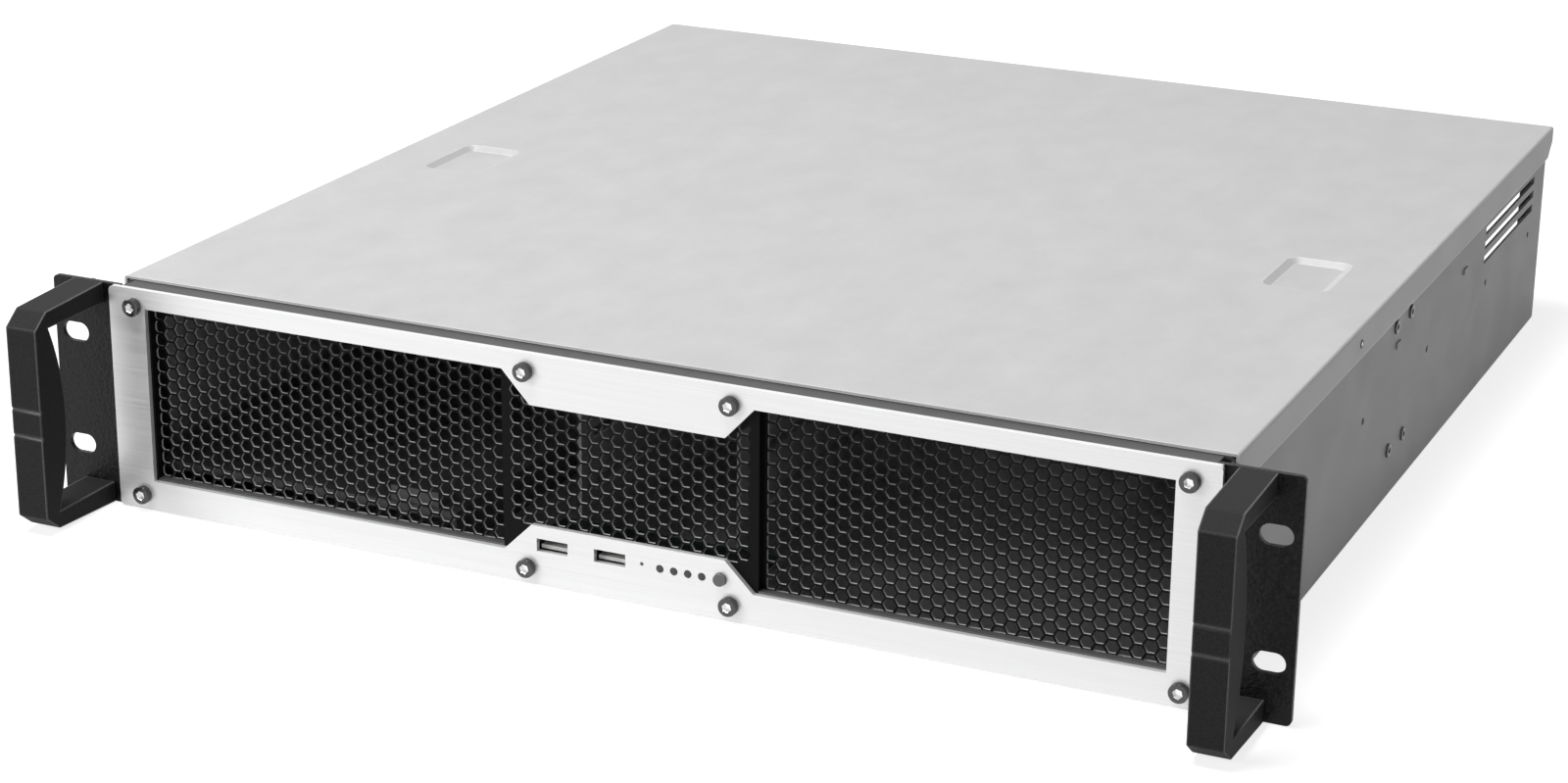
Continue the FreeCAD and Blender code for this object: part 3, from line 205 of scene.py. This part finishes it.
# Each kind of surface below is a noise (its scale, or its scales along X, Y and Z, then its detail) that
# changes the lightness by a share, the roughness by an amount and the height by metres
def brushed(name, color, roughness, metallic):
    """Metal brushed along X."""
    shade = Shade(name, color, metallic, roughness)
    grain = shade.noise((14, 2600, 2600), detail=3.0)
    shade.tint(shade.spread(grain, 0, 1), change=0.035)
    shade.gloss(grain, change=0.06)
    return shade.relief(grain, depth=0.000012)


def coated_steel(name, color, roughness, metallic):
    """Zinc-coated sheet with soft cloudy mottling and a fine spangle."""
    shade = Shade(name, color, metallic, roughness, Specular_IOR_Level=0.22)
    cloud = shade.noise((60, 35, 60), detail=6.0, rough=0.68)
    shade.tint(shade.spread(cloud, 0, 1), change=0.06)
    shade.gloss(cloud, change=0.06)
    return shade.relief(shade.noise(900, detail=3.0), depth=0.000008)


def powder_coat(name, color, roughness, grain, depth, sheen, change=0.3):
    """Sprayed coat with a pebbled grain."""
    shade = Shade(name, color, 0.0, roughness, Specular_IOR_Level=sheen)
    pebble = shade.noise(grain, detail=2.0)
    shade.tint(shade.spread(pebble, 0, 1), change)
    shade.gloss(pebble, change=0.07)
    return shade.relief(pebble, depth)


def machined(name, color, roughness):
    """Turned or pressed bare metal."""
    shade = Shade(name, color, 1.0, roughness)
    fine = shade.noise(1500, detail=3.0)
    shade.tint(shade.spread(fine, 0, 1), change=0.12)
    return shade.gloss(fine, change=0.08)


def moulded(name, color, roughness):
    """Moulded plastic."""
    shade = Shade(name, color, 0.0, roughness)
    fine = shade.noise(2200, detail=2.0)
    shade.tint(shade.spread(fine, 0, 1), change=0.08)
    return shade.relief(fine, depth=0.00001)


def grey(value, blue=None):
    return value, value, value if blue is None else blue


# The painted shade in front of the cover, a dark strip that stands for the ledge's dark reflection: its end on
# the walls and on the ledges' tops, how softly it ends, and the share of the colour that stays
PAINTED_SHADE_END, PAINTED_SHADE_LEDGE_END, PAINTED_SHADE_RUN, PAINTED_SHADE_SHARE = EAR_Y + 10.5 * MM, EAR_Y + 40 * MM, 1.5 * MM, 0.25
LEDGE_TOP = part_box("chassis_base")[1][2]

PLATE = brushed("plate_aluminium", grey(0.87, 0.875), roughness=0.36, metallic=0.5).material
COVER = coated_steel("cover_zinc", grey(0.56), roughness=0.45, metallic=0.1)
# The cover's edges and folds get a painted highlight
COVER = COVER.edge_wear_and_highlight(reach=1.2 * MM, color=grey(0.95)).material
ZINC = coated_steel("case_zinc", grey(0.36), roughness=0.48, metallic=0.1).material
# Painted shade: the drive tray and its stop are the case's zinc, darkened for the dim inside of the case
TRAY_SHADED = coated_steel("tray_zinc_shaded", grey(0.12), roughness=0.45, metallic=0.3).material
BASE = coated_steel("base_zinc", grey(0.36), roughness=0.48, metallic=0.1)
# The base's sharp edges get a painted highlight
BASE = BASE.edge_wear_and_highlight(reach=0.5 * MM, color=grey(0.7))
# Painted shade on the base's front and on its ledges' tops
BASE = BASE.painted_front_shade(PAINTED_SHADE_END, PAINTED_SHADE_LEDGE_END, LEDGE_TOP, PAINTED_SHADE_RUN, PAINTED_SHADE_SHARE).material
MESH = powder_coat("mesh_black", grey(0.004, 0.0045), roughness=0.5, grain=1800, depth=0.00001,
                   sheen=0.08).material
# Painted highlight: the hole walls of the black sheet are coloured light grey, as where they catch the light
# from above
MESH_WALL_HIGHLIGHT = powder_coat("mesh_wall_highlight", grey(0.72, 0.725), roughness=0.25, grain=1800, depth=0.00001,
                        sheen=0.5, change=0.1).material
# Painted light: the lower fold of each pressed field is coloured lighter, as lit from above
MESH_FOLD_LIT = powder_coat("mesh_fold_lit", grey(0.09, 0.092), roughness=0.35, grain=1800, depth=0.000008,
                        sheen=0.5, change=0.1).material
EAR = powder_coat("ear_black", grey(0.0075, 0.008), roughness=0.42, grain=900, depth=0.0003,
                  sheen=0.22, change=0.8).material
HANDLE = powder_coat("handle_black", grey(0.032, 0.0335), roughness=0.6, grain=2600, depth=0.00004,
                     sheen=0.05)
# The handles' edges: wear from handling, and a painted highlight
HANDLE = HANDLE.edge_wear_and_highlight(reach=1.0 * MM, color=grey(0.30, 0.305)).material
SCREW = machined("screw_dark", grey(0.085), roughness=0.3).material
# Painted highlight: the sockets of the plate's screws and of the flush screws are coloured bright, as where
# they catch the light
SOCKET_HIGHLIGHT = machined("screw_socket_highlight", grey(0.8), roughness=0.25).material
BRIGHT = machined("screw_bright", grey(0.72, 0.73), roughness=0.3).material
BOARD = moulded("board_green", (0.006, 0.02, 0.012), roughness=0.5).material
PORT = machined("port_metal", grey(0.10), roughness=0.35).material
TONGUE = moulded("port_tongue", grey(0.78, 0.76), roughness=0.4).material
LAMP = moulded("lamp_lens", grey(0.05), roughness=0.2).material
BUTTON = moulded("button_grey", grey(0.15), roughness=0.3).material
SWITCH = moulded("switch_black", grey(0.02), roughness=0.5).material


# Mesh helpers: the angle from which an edge stays sharp, how near to each other the points of one solid's
# mesh count as one, and the same for the points of a sheet's outline and holes
SHARP_ANGLE = math.radians(30)
SAME_POINT, SAME_CORNER = 0.001 * MM, 0.0001 * MM


def add_piece(name, bm, body, slot, materials, *nodes):
    """Links a finished mesh as a piece that rides on a body and may stand for nodes."""
    mesh = bpy.data.meshes.new(name)
    bmesh.ops.recalc_face_normals(bm, faces=bm.faces)
    bm.to_mesh(mesh)
    bm.free()
    mesh.shade_smooth()
    mesh.set_sharp_from_angle(angle=SHARP_ANGLE)
    for material in materials:
        mesh.materials.append(material)
    obj = bpy.data.objects.new(name, mesh)
    bpy.context.collection.objects.link(obj)
    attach(obj, body)
    if nodes:
        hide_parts(*nodes)


def solids_boxes(node):
    """The box of each separate solid of a node."""
    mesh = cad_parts[node].data
    bm = bmesh.new()
    bm.from_mesh(mesh)
    bmesh.ops.remove_doubles(bm, verts=bm.verts, dist=SAME_POINT)
    seen, boxes = set(), []
    for start in bm.verts:
        if start.index in seen:
            continue
        stack, group = [start], []
        seen.add(start.index)
        while stack:
            vert = stack.pop()
            group.append(vert.co)
            for edge in vert.link_edges:
                other = edge.other_vert(vert)
                if other.index not in seen:
                    seen.add(other.index)
                    stack.append(other)
        boxes.append((Vector([min(co[i] for co in group) for i in range(3)]),
                      Vector([max(co[i] for co in group) for i in range(3)])))
    bm.free()
    return sorted(boxes, key=lambda pair: tuple(pair[0]))


def ring(bm, points):
    return [bm.verts.new(point) for point in points]


def bridge(bm, first, second, index=0):
    count = len(first)
    for step in range(count):
        face = bm.faces.new((first[step], first[(step + 1) % count], second[(step + 1) % count], second[step]))
        face.material_index = index


# Of a screw's head: how much of its height its rounded edge takes, where that edge turns, how much wider
# the socket's mouth is, and how deep its lead-in goes
EDGE_SHARE, TURN_SHARE, MOUTH_SHARE, LEAD_SHARE = 0.16, 0.3, 1.08, 0.12


def add_screw(bm, base, axis, head, rise, socket, sink, shank, length, sides=36):
    """A rounded cap head with a hexagon socket; base is under the head, axis points out of it."""
    axis = axis.normalized()
    across = axis.orthogonal().normalized()
    aside = axis.cross(across)

    def circle(radius, lift):
        return [base + axis * lift + (across * math.cos(turn) + aside * math.sin(turn)) * radius
                for turn in (2 * math.pi * step / sides for step in range(sides))]

    def hexagon(radius, lift):
        points = []
        for step in range(sides):
            turn = 2 * math.pi * step / sides
            local = (turn % (math.pi / 3)) - math.pi / 6
            reach = radius * math.cos(math.pi / 6) / math.cos(local)
            points.append(base + axis * lift + (across * math.cos(turn) + aside * math.sin(turn)) * reach)
        return points

    edge = rise * EDGE_SHARE
    turned = edge * TURN_SHARE
    rings = [ring(bm, circle(shank, -length)), ring(bm, circle(shank, 0)), ring(bm, circle(head, 0)),
             ring(bm, circle(head, rise - edge)), ring(bm, circle(head - turned, rise - turned)),
             ring(bm, circle(head - edge, rise)), ring(bm, hexagon(socket * MOUTH_SHARE, rise)),
             ring(bm, hexagon(socket, rise - sink * LEAD_SHARE)), ring(bm, hexagon(socket, rise - sink))]
    bm.faces.new(rings[0][::-1])
    # The socket's mouth, walls and floor take the second material, given by the callers: a painted highlight on
    # some screws, painted shade on others
    mouth = len(rings) - 3
    for index, (first, second) in enumerate(zip(rings, rings[1:])):
        bridge(bm, first, second, 1 if index >= mouth else 0)
    bm.faces.new(rings[-1]).material_index = 1


# For each node of screws: the height of its heads and the radius of its shanks in metres, the height of the
# rounded heads shown, and the socket's width and depth as shares of the head
HEADS = {
    "bezel_screws": (3.3 * MM, 1.7 * MM, 2.4 * MM, 0.5, 0.6),
    "cover_screws": (2.2 * MM, 1.35 * MM, 2.0 * MM, 0.45, 0.6),
    "card_screws": (1.8 * MM, 1.28 * MM, 1.8 * MM, 0.45, 0.6),
    "ear_screws": (1.8 * MM, 1.28 * MM, 1.5 * MM, 0.45, 0.6),
    "brace_screws": (1.8 * MM, 1.28 * MM, 0.8 * MM, 0.45, 0.6),
    "handle_screws": (1.4 * MM, 1.7 * MM, 1.4 * MM, 0.45, 0.6),
}


def screws_for(node, name, axis, body, slot, materials):
    """Fine screws in the places of a node's plain ones; those along X point away from the middle."""
    rise, shank, shown, socket_share, sink_share = HEADS[node]
    index = abs(axis)
    bm = bmesh.new()
    for low, high in solids_boxes(node):
        middle, size = (low + high) / 2, high - low
        head = max(size[place] for place in range(3) if place != index) / 2
        sign = math.copysign(1, middle.x if index == 0 else axis)
        outward = Vector([sign if place == index else 0 for place in range(3)])
        base = middle.copy()
        base[index] = (high[index] - rise) if sign > 0 else (low[index] + rise)
        add_screw(bm, base, outward, head, shown, head * socket_share, shown * sink_share, shank,
                  size[index] - rise)
    add_piece(name, bm, body, slot, materials, node)


def clip(polygon, low_x, high_x, low_z, high_z):
    """The part of a convex polygon inside a rectangle."""
    for axis, limit, keep_high in ((0, low_x, True), (0, high_x, False), (1, low_z, True), (1, high_z, False)):
        result = []
        for start, end in zip(polygon, polygon[1:] + polygon[:1]):
            start_in = (start[axis] >= limit) == keep_high or start[axis] == limit
            end_in = (end[axis] >= limit) == keep_high or end[axis] == limit
            if start_in != end_in:
                share = (limit - start[axis]) / (end[axis] - start[axis])
                result.append((start[0] + (end[0] - start[0]) * share, start[1] + (end[1] - start[1]) * share))
            if end_in:
                result.append(end)
        polygon = result
        if len(polygon) < 3:
            return []
    return polygon


def area(polygon):
    return abs(sum(a[0] * b[1] - b[0] * a[1] for a, b in zip(polygon, polygon[1:] + polygon[:1]))) / 2


# The holes' pitch and the distance from a hole's middle to its corners; how many columns lie on each side
# of the middle, and which rows there are; the smallest share of a hole that is still cut at an edge
PITCH = 5.15 * MM
HOLE = 2.16 * MM / math.cos(math.pi / 6)
COLUMNS = range(-60, 61)
ROWS = range(-5, 40)
LEAST_SHARE = 0.12


def honeycomb(low_x, high_x, low_z, high_z):
    """Hexagonal holes over a rectangle, cut off along its edges."""
    column = PITCH * math.cos(math.pi / 6)
    corners = [(HOLE * math.cos(turn), HOLE * math.sin(turn)) for turn in
               (math.pi / 3 * step for step in range(6))]
    full = area(corners)
    holes = []
    for place in COLUMNS:
        x = place * column
        for row in ROWS:
            z = row * PITCH + (PITCH / 2 if place % 2 else 0)
            hole = clip([(x + u, z + v) for u, v in corners], low_x, high_x, low_z, high_z)
            if hole and area(hole) > full * LEAST_SHARE:
                holes.append(hole)
    return holes


def inside(point, polygon):
    x, z = point
    hit = False
    for (ax, az), (bx, bz) in zip(polygon, polygon[1:] + polygon[:1]):
        if (az > z) != (bz > z) and x < ax + (z - az) * (bx - ax) / (bz - az):
            hit = not hit
    return hit


def sheet(bm, outline, windows, holes, front, back):
    """A flat sheet with windows and holes between two places along Y; hole walls get the second material, a
    painted highlight.
    """
    points, edges = [], []
    for loop in [outline] + windows + holes:
        start = len(points)
        points += [Vector(point) for point in loop]
        edges += [(start + step, start + (step + 1) % len(loop)) for step in range(len(loop))]
    verts, _, faces, *_ = delaunay_2d_cdt(points, edges, [], 1, SAME_CORNER)
    near_holes = {}
    for hole in holes:
        for key in cells_around(middle_of(hole)):
            near_holes.setdefault(key, []).append(hole)
    near_side = [bm.verts.new((vert.x, front, vert.y)) for vert in verts]
    far_side = [bm.verts.new((vert.x, back, vert.y)) for vert in verts]
    borders = set()
    for face in faces:
        centre = middle_of([verts[index] for index in face])
        open_here = windows + near_holes.get(cell_of(centre), [])
        if any(inside(centre, hole) for hole in open_here) or not inside(centre, outline):
            continue
        bm.faces.new([near_side[index] for index in face])
        bm.faces.new([far_side[index] for index in reversed(face)])
        borders.update(zip(face, list(face[1:]) + [face[0]]))
    for first, second in sorted(borders):
        if (second, first) not in borders:
            wall = bm.faces.new((near_side[first], near_side[second], far_side[second], far_side[first]))
            wall.material_index = 1
    for vert in near_side + far_side:
        if not vert.link_faces:
            bm.verts.remove(vert)


def middle_of(points):
    return sum(point[0] for point in points) / len(points), sum(point[1] for point in points) / len(points)


# The side of the squares by which holes near a place are looked up
CELL = 5 * MM


def cell_of(point):
    return math.floor(point[0] / CELL), math.floor(point[1] / CELL)


def cells_around(point):
    column, row = cell_of(point)
    return [(column + across, row + rise) for across in (-1, 0, 1) for rise in (-1, 0, 1)]


def rectangle(low_x, high_x, low_z, high_z):
    return [(low_x, low_z), (high_x, low_z), (high_x, high_z), (low_x, high_z)]


# The perforated sheet: its thickness, the pressed-back side fields, the middle field, the gap for the
# connectors, the square notches around the plate's screws, and the bare borders inside the side fields
SHEET = 0.8 * MM
FIELD_IN, FIELD_OUT = 49.4 * MM, 199.0 * MM
FIELD_LOW, FIELD_HIGH = 12.1 * MM, 80.0 * MM
MIDDLE_HALF, MIDDLE_LOW, MIDDLE_HIGH = 47.2 * MM, 22.2 * MM, 75.0 * MM
GAP_HALF, GAP_LOW, GAP_HIGH = 41.0 * MM, 10.8 * MM, 20.4 * MM
NOTCH_ACROSS, NOTCH_RISES, NOTCH_HALF = (40.0 * MM, 204.0 * MM), (6.4 * MM, 80.4 * MM), 2.2 * MM
BORDER, INNER_BORDER = 0.9 * MM, 2.6 * MM

# Where the plate's upper step hides the middle field
BRIDGE_HALF, BRIDGE_LOW = 36.0 * MM, 70.5 * MM


def fine_mesh():
    """The perforated sheet at its real pitch: a middle field in front and two side fields pressed back."""
    low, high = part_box("mesh_panel")
    front, back = low[1], high[1]
    bm = bmesh.new()
    outline = rectangle(low[0], high[0], low[2], high[2])
    windows = [rectangle(-GAP_HALF, GAP_HALF, GAP_LOW, GAP_HIGH)]
    for side in (-1, 1):
        left, right = sorted((side * FIELD_IN, side * FIELD_OUT))
        windows.append(rectangle(left, right, FIELD_LOW, FIELD_HIGH))
        for across in NOTCH_ACROSS:
            for rise in NOTCH_RISES:
                x = side * across
                windows.append(rectangle(x - NOTCH_HALF, x + NOTCH_HALF, rise - NOTCH_HALF, rise + NOTCH_HALF))
    middle = honeycomb(-MIDDLE_HALF, MIDDLE_HALF, MIDDLE_LOW, MIDDLE_HIGH)
    middle = [hole for hole in middle if clear_of_bridge(hole)]
    sheet(bm, outline, windows, middle, front, front + SHEET)
    for side in (-1, 1):
        left, right = sorted((side * FIELD_IN, side * FIELD_OUT))
        inner = sorted((side * (FIELD_IN + INNER_BORDER), side * (FIELD_OUT - BORDER)))
        holes = honeycomb(inner[0], inner[1], FIELD_LOW + BORDER, FIELD_HIGH - BORDER)
        sheet(bm, rectangle(left, right, FIELD_LOW, FIELD_HIGH), [], holes, back - SHEET, back)
        frame_walls(bm, (left, right), (FIELD_LOW, FIELD_HIGH), front, back - SHEET)
    add_piece("fine_mesh", bm, "case", "black_sheet", [MESH, MESH_WALL_HIGHLIGHT, MESH_FOLD_LIT], "mesh_panel")


def clear_of_bridge(hole):
    """True where a hole of the middle field shows or lies just behind the plate's edge."""
    x, z = middle_of(hole)
    return z < BRIDGE_LOW or abs(x) > BRIDGE_HALF


def frame_walls(bm, edges, heights, front, back):
    """Four walls that join a pressed field to the sheet in front; the lower one has the third material, painted
    lighter as if lit from above.
    """
    (left, right), (low, high) = edges, heights
    spans = (((left, left + SHEET), (low, high), 0), ((right - SHEET, right), (low, high), 0),
             ((left + SHEET, right - SHEET), (low, low + SHEET), 2),
             ((left + SHEET, right - SHEET), (high - SHEET, high), 0))
    for (x0, x1), (z0, z1), index in spans:
        box(bm, (x0, front, z0), (x1, back, z1), index)


def box(bm, low, high, index=0):
    corners = [bm.verts.new((x, y, z)) for x in (low[0], high[0]) for y in (low[1], high[1])
               for z in (low[2], high[2])]
    for face in ((0, 1, 3, 2), (4, 6, 7, 5), (0, 4, 5, 1), (2, 3, 7, 6), (0, 2, 6, 4), (1, 5, 7, 3)):
        bm.faces.new([corners[place] for place in face]).material_index = index


# Fine pieces in the places of plain ones
def fine_screws():
    # The second material of each is its sockets': the plate's screws get a bright painted highlight there, the
    # others a near-black painted shade
    screws_for("bezel_screws", "plate_cap_screws", -1, "case", "dark_screw", [SCREW, SOCKET_HIGHLIGHT])
    screws_for("cover_screws", "cover_cap_screws", 1, "cover", "dark_screw", [SCREW, SWITCH])
    screws_for("card_screws", "slot_cap_screws", 1, "case", "bright_screw", [BRIGHT, SWITCH])
    screws_for("ear_screws", "ear_cap_screws", 0, "case", "dark_screw", [SCREW, SWITCH])
    screws_for("brace_screws", "brace_cap_screws", 0, "case", "bright_screw", [SCREW, SWITCH])
    screws_for("handle_screws", "handle_cap_screws", 1, "case", "dark_screw", [SCREW, SWITCH])


# Flush screws in the cover's side flanges: how far behind the ears and below the top they sit, their heads'
# radius and height, their sockets' width and depth, and their shanks' radius and length
FLUSH_BACK, FLUSH_DROP = 156.6 * MM, 7.0 * MM
FLUSH_HEAD, FLUSH_RISE, FLUSH_SOCKET, FLUSH_SINK = 1.6 * MM, 0.25 * MM, 0.8 * MM, 0.15 * MM
FLUSH_SHANK, FLUSH_LENGTH = 1.0 * MM, 0.6 * MM


def flush_screws():
    """One nearly flush screw in each side flange of the cover."""
    low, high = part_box("top_cover")
    bm = bmesh.new()
    for side, across in ((-1, low[0]), (1, high[0])):
        add_screw(bm, Vector((across, EAR_Y + FLUSH_BACK, high[2] - FLUSH_DROP)), Vector((side, 0, 0)),
                  FLUSH_HEAD, FLUSH_RISE, FLUSH_SOCKET, FLUSH_SINK, FLUSH_SHANK, FLUSH_LENGTH)
    # The sockets get a painted highlight
    add_piece("flange_flush_screws", bm, "cover", "dark_screw", [SWITCH, SOCKET_HIGHLIGHT])


# Lamps: the lens's radius and how far below the ears' middle it sits, its foot's depth, its sides, and
# the dome as depths behind the front with shares of the radius
LENS, LENS_DROP, LENS_FOOT, LENS_SIDES = 1.3 * MM, 28.2 * MM, 3.6 * MM, 24
DOME = ((0.0, 0.35), (0.12 * MM, 0.8), (0.35 * MM, 1.0))


def fine_lamps():
    """Round lenses with a domed front, each on its square foot."""
    bm = bmesh.new()
    for low, high in solids_boxes("status_lamps"):
        across, rise = (low.x + high.x) / 2, EAR_Z - LENS_DROP

        def circle(radius, depth):
            return ring(bm, [(across + radius * math.cos(2 * math.pi * step / LENS_SIDES), depth,
                              rise + radius * math.sin(2 * math.pi * step / LENS_SIDES))
                             for step in range(LENS_SIDES)])

        rings = [circle(LENS * share, low.y + depth) for depth, share in DOME]
        rings.append(circle(LENS, high.y - LENS_FOOT))
        bm.faces.new(rings[0])
        for first, second in zip(rings, rings[1:]):
            bridge(bm, first, second)
        bm.faces.new(rings[-1][::-1])
        box(bm, (low.x, high.y - LENS_FOOT, low.z), (high.x, high.y, high.z))
    add_piece("lamp_lenses", bm, "case", "lamp", [LAMP], "status_lamps")


# Connectors: the shell's wall and back, and the tongue's gap at each side, its setback, foot and top
SHELL_WALL, SHELL_BACK = 0.45 * MM, 1.5 * MM
TONGUE_GAP, TONGUE_SETBACK, TONGUE_LOW, TONGUE_HIGH = 0.7 * MM, 0.5 * MM, 1.0 * MM, 2.4 * MM


def fine_ports():
    """Folded socket shells, open in front, with a pale tongue."""
    for word in ("left", "right"):
        low, high = (Vector(corner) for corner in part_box("usb_port_" + word))
        wall = Vector((SHELL_WALL, 0, SHELL_WALL))
        inner_low, inner_high = low + wall, high - wall
        rear = high.y - SHELL_BACK
        shell = bmesh.new()
        box(shell, low, (inner_low.x, high.y, high.z))
        box(shell, (inner_high.x, low.y, low.z), high)
        box(shell, (inner_low.x, low.y, low.z), (inner_high.x, high.y, inner_low.z))
        box(shell, (inner_low.x, low.y, inner_high.z), (inner_high.x, high.y, high.z))
        box(shell, (inner_low.x, rear, inner_low.z), (inner_high.x, high.y, inner_high.z))
        add_piece("port_shell_" + word, shell, "case", "socket_metal", [PORT], "usb_port_" + word)
        tongue = bmesh.new()
        box(tongue, (inner_low.x + TONGUE_GAP, low.y + TONGUE_SETBACK, low.z + TONGUE_LOW),
            (inner_high.x - TONGUE_GAP, rear, low.z + TONGUE_HIGH))
        add_piece("port_tongue_" + word, tongue, "case", "lamp", [TONGUE])


# Finish of the pieces kept from the frame
FINISH = {
    "top_cover": COVER, "front_plate": PLATE, "chassis_base": BASE, "rear_panel": ZINC,
    "ear_bracket_left": EAR, "ear_bracket_right": EAR, "handle_left": HANDLE, "handle_right": HANDLE,
    "front_board": BOARD, "board_posts": BRIGHT, "power_switch": SWITCH, "power_button": BUTTON,
    "reset_switch": SWITCH, "reset_button": SWITCH, "drive_tray": TRAY_SHADED, "drive_stop": TRAY_SHADED,
    "divider_left": ZINC, "divider_right": ZINC, "psu_bracket": ZINC, "board_standoffs": BRIGHT,
}

# How far the sharp edges of some pieces are rounded, in how many steps, and from which angle on
EDGES = {
    "handle_left": 0.7 * MM, "handle_right": 0.7 * MM, "front_plate": 0.2 * MM, "top_cover": 0.2 * MM,
    "ear_bracket_left": 0.2 * MM, "ear_bracket_right": 0.2 * MM, "chassis_base": 0.15 * MM,
}
EDGE_STEPS = 3
EDGE_ANGLE = math.radians(35)
WELD = 0.002 * MM


def finish_nodes():
    for node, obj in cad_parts.items():
        if obj.hide_render:
            continue
        material = FINISH.get(node, ZINC)
        obj.data.materials.clear()
        obj.data.materials.append(material)
        if node in EDGES:
            weld = obj.modifiers.new("weld", "WELD")
            weld.merge_threshold = WELD
            bevel = obj.modifiers.new("bevel", "BEVEL")
            bevel.width = EDGES[node]
            bevel.segments = EDGE_STEPS
            bevel.limit_method = "ANGLE"
            bevel.angle_limit = EDGE_ANGLE


# Stage and light: the floor's half side, how far it lies under the case, its colour and glow, the world's
# light on the case, and each light's place, what it points at, its side in metres and its power in watts
FLOOR_HALF, FLOOR_DROP = 8, 0.2 * MM
FLOOR_COLOR, FLOOR_GLOW = (0.45, 0.45, 0.45), 0.8
WORLD_LIGHT, WORLD_SEEN = 0.1, 1.0
LIGHTS = {
    "key": ((-0.35, -0.45, 2.1), (0, 0, 0), 0.8, 40),
    "front_left": ((-1.5, -1.4, 0.7), (-0.1, -0.2, 0.05), 0.7, 18),
}


def stage():
    bm = bmesh.new()
    corners = [bm.verts.new((x * FLOOR_HALF, y * FLOOR_HALF, -FLOOR_DROP))
               for x, y in ((-1, -1), (1, -1), (1, 1), (-1, 1))]
    bm.faces.new(corners)
    mesh = bpy.data.meshes.new("floor")
    bm.to_mesh(mesh)
    bm.free()
    floor = bpy.data.objects.new("floor", mesh)
    bpy.context.collection.objects.link(floor)
    shade = Shade("floor_white", FLOOR_COLOR, metallic=0.0, roughness=0.9, Specular_IOR_Level=0.1)
    glow(shade.tree, shade.shader, FLOOR_GLOW)
    mesh.materials.append(shade.material)

    world = bpy.data.worlds.new("studio")
    bpy.context.scene.world = world
    world.use_nodes = True
    background = world.node_tree.nodes["Background"]
    background.inputs["Color"].default_value = (1, 1, 1, 1)
    seen = seen_rays(world.node_tree)
    strength = world.node_tree.nodes.new("ShaderNodeMapRange")
    strength.inputs["To Min"].default_value = WORLD_LIGHT
    strength.inputs["To Max"].default_value = WORLD_SEEN
    world.node_tree.links.new(seen, strength.inputs["Value"])
    world.node_tree.links.new(strength.outputs["Result"], background.inputs["Strength"])

    for name, (spot, target, size, power) in LIGHTS.items():
        area_light(name, spot, target, size, power)


def seen_rays(tree):
    """1 for rays from the camera, in reflections and through glass, else 0."""
    path = tree.nodes.new("ShaderNodeLightPath")
    total = path.outputs["Is Camera Ray"]
    for name in ("Is Glossy Ray", "Is Transmission Ray"):
        add = tree.nodes.new("ShaderNodeMath")
        add.operation = "ADD"
        add.use_clamp = True
        tree.links.new(total, add.inputs[0])
        tree.links.new(path.outputs[name], add.inputs[1])
        total = add.outputs["Value"]
    return total


def glow(tree, shader, strength):
    """Adds a white glow that only the camera and reflections see, so shadows stay and the rest turns white."""
    shader.inputs["Emission Color"].default_value = (1, 1, 1, 1)
    scale = tree.nodes.new("ShaderNodeMath")
    scale.operation = "MULTIPLY"
    scale.inputs[1].default_value = strength
    tree.links.new(seen_rays(tree), scale.inputs[0])
    tree.links.new(scale.outputs["Value"], shader.inputs["Emission Strength"])


def area_light(name, place, target, size, power):
    data = bpy.data.lights.new(name, "AREA")
    data.size = size
    data.energy = power
    light = bpy.data.objects.new(name, data)
    bpy.context.collection.objects.link(light)
    light.location = place
    light.rotation_euler = (Vector(target) - Vector(place)).to_track_quat("-Z", "Y").to_euler()


fine_mesh()
fine_screws()
flush_screws()
fine_lamps()
fine_ports()
finish_nodes()
stage()
aim_camera()
bpy.context.scene.view_settings.view_transform = "Standard"
